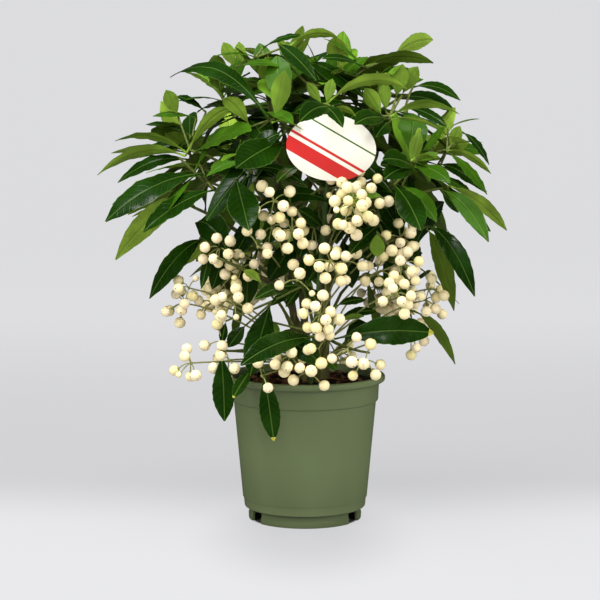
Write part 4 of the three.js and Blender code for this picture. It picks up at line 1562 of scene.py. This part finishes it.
def strew_litter(heap):
    """Dead leaves and scraps of bark that lie on the soil."""
    form = leaf_form(*SCRAP_LEAF)
    random = draws(LITTER_SEED)
    for _ in range(SCRAPS):
        turn, out = random() * 360, mix(*SCRAP_FEET, math.sqrt(random()))
        foot = on_soil(turn, out, SCRAP_OVER)
        aim = (outward(random() * 360) + UP * mix(*SCRAP_RISES, random())).normalized()
        length = mix(*SCRAP_LENGTHS, random())
        reach = foot + aim * length
        if math.hypot(reach.x, reach.y) > SCRAPS_WITHIN:
            aim = (-outward(turn) + UP * SCRAP_RISE_IN).normalized()
        face = square(UP, aim)
        face.rotate(Quaternion(aim, mix(*SCRAP_ROLLS, random())))
        leaf = dict(foot=foot, aim=aim, face=face, length=length, sag=mix(*SCRAP_SAGS, random()))
        look = dict(leaf_look(random), steps=SCRAP_LEAF[0], fold=mix(*SCRAP_FOLDS, random()))
        points, spots = bend_leaf(form, leaf, look, mix(*SCRAP_WIDTHS, random()))
        heap.add(points, form, None, spots)


class CORALBERRY_OT_limbs(Operator):
    """Grows the stems, the branches and the green twigs"""

    bl_idname = "coralberry.limbs"
    bl_label = "Stems and branches"

    def execute(self, context):
        colours = context.scene.coralberry_colours
        bark = bark_paint("bark", colours.bark)
        green = twig_paint("green_wood", colours.twig)
        stems, shoots = grow_shoots()
        wood, boughs, twigs = Heap(), Heap(), Heap()
        rod = rod_form(*STEM_ROD)
        for number, stem in enumerate(stems):
            path = stem["path"]
            wood.add_rod(rod, path, stem_radius(path), relief=bark_relief(number, STEM_SCARS))
        add_branches(boughs, twigs, shoots)
        add_sprays(twigs, stems)
        wood.build("stems", [bark], "stem_bark", nodes_named("stem_"))
        boughs.build("boughs", [bark], "stem_bark", nodes_named("bough_"))
        twigs.build("twigs", [green], "stem_bark")
        return {"FINISHED"}


def add_branches(boughs, twigs, shoots):
    """Each shoot's bough, where it has one, and its leafy twig."""
    rod, thin = rod_form(*BOUGH_ROD), rod_form(*THIN_ROD)
    for shoot in shoots:
        path, seed = shoot["path"], shoot["seed"]
        start = shoot["leafy"] if shoot["tier"]["bare"] else 0
        if start:
            boughs.add_rod(rod, path, taper(BOUGH_RADII), 0, start, bark_relief(seed, BOUGH_SCARS))
        twigs.add_rod(thin, path, taper(TWIG_RADII), start, 1, bark_relief(seed, TWIG_SCARS))


def add_sprays(twigs, stems):
    """The twig to the middle of each measured spray, and the stalks from there to its leaves."""
    rod, thin = rod_form(*BOUGH_ROD), rod_form(*THIN_ROD)
    for middle, leaves in SPRAYS:
        centre = from_front(*middle)
        path = branch_to(stems, centre, SPRAY_RISE)
        twigs.add_rod(rod, path, taper(TWIG_RADII), relief=bark_relief(middle[0], SPRAY_SCARS))
        for foot, *_ in leaves:
            end = from_front(*foot)
            if (end - centre).length > 1:
                stalk = Path(centre, (centre + end) / 2, end)
                twigs.add_rod(thin, stalk, taper(LEAF_STALK_RADII))


def stem_radius(path):
    """A stem thins towards its tip and flares into its roots at the soil."""
    def radius(t):
        flare = ROOT_FLARE * math.exp(-(path.point(t).z - SOIL_TOP) / ROOT_HEIGHT)
        return mix(*STEM_RADII, t) * (1 + flare)
    return radius


def bark_relief(seed, scars):
    """Shallow furrows along a limb, and a ring at each old leaf scar."""
    random = draws(seed + BARK_SEED)
    starts = [random() * math.tau for _ in FURROWS]

    def relief(t, angle):
        furrow = sum(depth * np.sin(angle * many + start + t * wind)
                     for (depth, many, wind), start in zip(FURROWS, starts))
        ring = SCAR_HEIGHT * np.exp(-(((t * scars) % 1 - 0.5) / SCAR_WIDTH) ** 2)
        return 1 + furrow + ring
    return relief


class CORALBERRY_OT_leaves(Operator):
    """Grows the leaves of every tier"""

    bl_idname = "coralberry.leaves"
    bl_label = "Leaves"

    def execute(self, context):
        colours = context.scene.coralberry_colours
        plant = context.scene.coralberry_plant
        materials = [leaf_paint(name, getattr(colours, name), colours.midrib, roughness, gloss)
                     for name, roughness, gloss in LEAF_FINISHES]
        stems, shoots = grow_shoots()
        view = FrontView()
        disc = np.array([(x, 0, z) for x in (-4, 0, 4) for z in (-4, 0, 4)])
        for head in front_heads(stems, plant):
            for spot, _, _ in head["berries"]:
                view.cover(spot + disc)
        build_front_leaves(leaf_form(*FRONT_LEAF), view, plant, materials)
        form = leaf_form(*CROWN_LEAF)
        for tier in TIERS:
            build_leaves(tier, shoots, form, view, plant, materials)
        return {"FINISHED"}


class CORALBERRY_OT_fruit(Operator):
    """Grows the heads of berries"""

    bl_idname = "coralberry.fruit"
    bl_label = "Fruit"

    def execute(self, context):
        colours = context.scene.coralberry_colours
        plant = context.scene.coralberry_plant
        stems, shoots = grow_shoots()
        heads = front_heads(stems, plant)
        heads += [head for shoot in shoots for head in all_heads(shoot, plant)
                  if not crowded(head, heads)]
        settle_berries(heads)
        finishes = [berry_paint(name, [c * s for c, s in zip(colours.berry, shares)])
                    for name, _, shares in BERRY_TINTS]
        build_berries(heads, [*finishes, twig_paint("berry_dot", SCAR_COLOUR)])
        build_stalks(heads, [twig_paint("fruit_stalk", colours.stalk)])
        return {"FINISHED"}


def hang_berries(head, count, random, plant):
    """Gives a head its berries: place, radius and shade."""
    hub = head["path"].end
    head["berries"] = []
    for way in berry_ways(head, count):
        ray = plant.ray / MM * mix(*RAY_SHARES, random())
        spot = hub + way * ray - UP * (RAY_DROOP * math.hypot(way.x, way.y))
        share = mix(*RIPE_SHARES, random()) if random() < RIPE_DRAW else UNRIPE_SHARE
        radius = plant.berry / MM * share
        head["berries"].append([np.array(spot), radius, random()])
    return head


def front_heads(stems, plant):
    """The measured heads of the front."""
    random = draws(FRUIT_SEED)
    heads = []
    for across, down, depth, count in FRONT_HEADS:
        hub = from_front(across, down, depth)
        path = branch_to(stems, hub, mix(*HEAD_RISE, random()))
        heads.append(hang_berries(dict(path=path, phase=random() * 360), count, random, plant))
    return heads


def crowded(head, placed):
    """Whether a head stands at the front, where the measured heads are, or shows in a gap."""
    hub = head["path"].end
    near = any((hub - other["path"].end).length < HEAD_SPACING for other in placed)
    return near or hub.y < 0 or fills_gap(np.array([spot for spot, _, _ in head["berries"]]))


def all_heads(shoot, plant):
    """A shoot's heads of fruit with the place of every berry."""
    tier = shoot["tier"]
    heads = heads_of(shoot, tier["heads"], FRUIT_SEED)
    heads += heads_of(shoot, tier["more"], EXTRA_FRUIT_SEED)
    random = draws(shoot["seed"] + LOOK_SEED)
    for head in heads:
        count = round(mix(plant.heads - FEWER_BERRIES, plant.heads, random()))
        hang_berries(head, count, random, plant)
    return heads


def settle_berries(heads):
    """Moves berries that would overlap apart, a little at a time, and off the pot's rim."""
    berries = [berry for head in heads for berry in head["berries"]]
    spots = np.array([b[0] for b in berries])
    radii = np.array([b[1] for b in berries])
    home = spots.copy()
    need = radii[:, None] + radii[None, :]
    itself = np.eye(len(spots)) * 99
    for _ in range(SETTLING_ROUNDS):
        gap = spots[:, None] - spots[None, :]
        apart = np.linalg.norm(gap, axis=2) + itself
        push = np.clip(need - apart, 0, None)
        spots = spots + (gap / apart[:, :, None] * push[:, :, None]).sum(axis=1) * SETTLING_PUSH
        spots = spots + (home - spots) * SETTLING_PULL
        out = np.hypot(spots[:, 0], spots[:, 1])
        low = spots[:, 2] < POT_TOP + BERRY_RING_OVER
        keep = np.where(low, np.maximum(BERRY_RING, out), out)
        spots[:, :2] *= (keep / out)[:, None]
        spots[:, 2] = np.maximum(spots[:, 2], BERRY_LOWEST)
    for berry, spot in zip(berries, spots):
        berry[0] = spot


def berry_turn(hub, spot):
    """The turn that lays a berry's axis along its stalk."""
    return np.array((Vector(spot) - hub).to_track_quat("Z", "Y").to_matrix())


def berry_form():
    """A berry one in radius, and which of its faces are the dark scar of its flower."""
    ball = ball_form(*BERRY_BALL)
    upright = np.arccos(np.clip(ball.points[:, 2], -1, 1))
    first = math.pi / BERRY_BALL[1]
    spread = first * FLOWER_SCAR + (upright - first) * RING_SPREAD
    drawn_in = np.where(upright < first * 1.2, upright * FLOWER_SCAR, spread)
    upright = np.where(upright > math.pi - 0.01, math.pi, drawn_in)
    level = np.stack([np.sin(upright), np.sin(upright), np.cos(upright) * BERRY_HEIGHT], axis=1)
    flat = unit(ball.points[:, :2] + 1e-9)
    ball.points = np.concatenate([flat, np.ones((len(flat), 1))], axis=1) * level
    return ball, [max(upright[i] for i in face) < first for face in ball.faces]


def build_berries(heads, finishes):
    """Every berry, in one of the three tints."""
    ball, scar = berry_form()
    heap = Heap()
    for head in heads:
        for spot, radius, shade in head["berries"]:
            points = (ball.points * radius) @ berry_turn(head["path"].end, spot).T + spot
            tone = next(i for i, (_, under, _) in enumerate(BERRY_TINTS) if shade < under)
            heap.add(points, ball, [len(BERRY_TINTS) if dark else tone for dark in scar])
    heap.build("berries", finishes, "foliage", sharp=80)


def build_stalks(heads, finishes):
    """The stalk of each head, its hub, and a ray with a small cup for each berry."""
    stalk, ray, cup = rod_form(*STALK_ROD), rod_form(*RAY_ROD), ball_form(*CUP_BALL)
    flat_cup = cup.points * np.array(CUP_SHAPE)
    heap = Heap()
    for head in heads:
        path = head["path"]
        heap.add_rod(stalk, path, taper(FRUIT_STALK_RADII))
        heap.add(cup.points * HUB_RADIUS + np.array(path.end), cup)
        for spot, radius, _ in head["berries"]:
            centre = Vector(spot)
            end = centre + (path.end - centre).normalized() * radius * RAY_END
            pull = (path.end + end) / 2 + UP * RAY_ARCH
            heap.add_rod(ray, Path(path.end, pull, end), lambda t: mix(*RAY_RADII, t**3))
            heap.add(flat_cup @ berry_turn(path.end, spot).T + np.array(end), cup)
    heap.build("fruit_stalks", finishes, "foliage")


class CORALBERRY_OT_card(Operator):
    """Makes the blank name card and its stick"""

    bl_idname = "coralberry.card"
    bl_label = "Name card"

    def execute(self, context):
        sizes = context.scene.coralberry_card
        colours = context.scene.coralberry_colours
        card = place(CARD_TURN, CARD_OUT, CARD_Z)
        shape = bmesh.new()
        bmesh.ops.create_circle(shape, cap_ends=True, segments=72, radius=1)
        bmesh.ops.scale(shape, verts=shape.verts[:], vec=(sizes.width / 2, sizes.height / 2, 1))
        bmesh.ops.translate(shape, verts=press_out(shape), vec=(0, 0, sizes.thickness))
        bmesh.ops.recalc_face_normals(shape, faces=shape.faces[:])
        soften(shape, 1, 0.0002)
        upright = Matrix.Rotation(math.radians(90), 4, "X")
        roll = Matrix.Rotation(math.radians(-CARD_ROLL), 4, "Z")
        stand = Matrix.Translation(card * MM) @ upright @ roll
        bmesh.ops.transform(shape, verts=shape.verts[:], matrix=stand)
        finish = card_paint("card_print", colours)
        from_bmesh("name_card", shape, finish, ["plant_label"], 40)
        build_stick(card, colours)
        return {"FINISHED"}


def build_stick(card, colours):
    """The flat stick behind the card, from the soil to the card's upper half."""
    foot, top = place(*STICK_FOOT), card + STICK_TOP
    heap = Heap()
    heap.add_rod(rod_form(*STICK_ROD), Path(foot, (foot + top) / 2, top), taper(STICK_RADII))
    heap.build("card_stick", [twig_paint("stick_plastic", colours.stick)], "name_card", sharp=30)


class CORALBERRY_OT_stage(Operator):
    """Sets the camera, the lights and the pale studio round the plant"""

    bl_idname = "coralberry.stage"
    bl_label = "Studio"

    def execute(self, context):
        settings = context.scene.coralberry_stage
        build_floor(settings)
        for light in LIGHTS:
            area_light(*light)
        build_air(context)
        data = bpy.data.cameras.new("camera")
        data.lens = settings.lens
        data.sensor_width = EYE_SENSOR
        data.clip_end = 50
        camera = bpy.data.objects.new("camera", data)
        camera.location = (EYE.x * MM, -settings.distance, settings.eye)
        camera.rotation_euler = (math.radians(90 - EYE_PITCH), 0, 0)
        context.scene.collection.objects.link(camera)
        context.scene.camera = camera
        context.scene.view_settings.view_transform = "Standard"
        return {"FINISHED"}


def build_floor(settings):
    """A wide dish: a flat floor that curves up into the backdrop all round."""
    bend = [math.radians(9 * i) for i in range(1, 11)]
    profile = [(0, 0), (FLOOR_FLAT, 0)]
    profile += [(FLOOR_FLAT + FLOOR_BEND * math.sin(a), FLOOR_BEND * (1 - math.cos(a)))
                for a in bend]
    profile.append((FLOOR_FLAT + FLOOR_BEND, FLOOR_WALL))
    shape = bmesh.new()
    turn_profile(shape, profile, FLOOR_STEPS)
    bmesh.ops.reverse_faces(shape, faces=shape.faces[:])
    mesh = bpy.data.meshes.new("studio_floor")
    shape.to_mesh(mesh)
    shape.free()
    mesh.polygons.foreach_set("use_smooth", [True] * len(mesh.polygons))
    mesh.materials.append(floor_paint("studio_paper", settings))
    floor = bpy.data.objects.new("studio_floor", mesh)
    bpy.context.scene.collection.objects.link(floor)
    floor.visible_glossy = False


def area_light(name, spot, size, power, glossy):
    """A soft light that faces the middle of the plant."""
    data = bpy.data.lights.new(name, "AREA")
    data.shape = "RECTANGLE"
    data.size, data.size_y = size
    data.energy = power
    light = bpy.data.objects.new(name, data)
    light.visible_glossy = glossy
    light.location = spot
    aim = Vector(LIGHT_TARGET) - Vector(spot)
    light.rotation_euler = aim.to_track_quat("-Z", "Y").to_euler()
    bpy.context.scene.collection.objects.link(light)


def build_air(context):
    """The faint even light from all round."""
    world = bpy.data.worlds.new("studio_air")
    world.use_nodes = True
    air = world.node_tree.nodes["Background"]
    air.inputs["Color"].default_value = (1.0, 1.0, 1.0, 1)
    air.inputs["Strength"].default_value = 0.05
    context.scene.world = world


class CORALBERRY_PT_panel(Panel):
    """The plant's pieces and their settings"""

    bl_label = "Coralberry"
    bl_idname = "CORALBERRY_PT_panel"
    bl_space_type = "VIEW_3D"
    bl_region_type = "UI"
    bl_category = "Coralberry"

    def draw(self, context):
        layout = self.layout
        for operator in OPERATORS:
            layout.operator(operator.bl_idname)
        for group in SETTINGS:
            box = layout.box()
            settings = getattr(context.scene, group)
            for name in settings.bl_rna.properties.keys():
                if name not in ("rna_type", "name"):
                    box.prop(settings, name)


OPERATORS = (
    CORALBERRY_OT_pot,
    CORALBERRY_OT_soil,
    CORALBERRY_OT_limbs,
    CORALBERRY_OT_leaves,
    CORALBERRY_OT_fruit,
    CORALBERRY_OT_card,
    CORALBERRY_OT_stage,
)
SETTINGS = {
    "coralberry_pot": PotSizes,
    "coralberry_plant": PlantSizes,
    "coralberry_card": CardSizes,
    "coralberry_colours": PlantColours,
    "coralberry_stage": StageSettings,
}


def register():
    for name, group in SETTINGS.items():
        bpy.utils.register_class(group)
        setattr(bpy.types.Scene, name, PointerProperty(type=group))
    for operator in OPERATORS:
        bpy.utils.register_class(operator)
    bpy.utils.register_class(CORALBERRY_PT_panel)


def unregister():
    bpy.utils.unregister_class(CORALBERRY_PT_panel)
    for operator in reversed(OPERATORS):
        bpy.utils.unregister_class(operator)
    for name, group in SETTINGS.items():
        delattr(bpy.types.Scene, name)
        bpy.utils.unregister_class(group)


def main():
    register()
    bpy.ops.coralberry.pot()
    bpy.ops.coralberry.soil()
    bpy.ops.coralberry.limbs()
    bpy.ops.coralberry.leaves()
    bpy.ops.coralberry.fruit()
    bpy.ops.coralberry.card()
    bpy.ops.coralberry.stage()


if __name__ == "__main__":
    main()
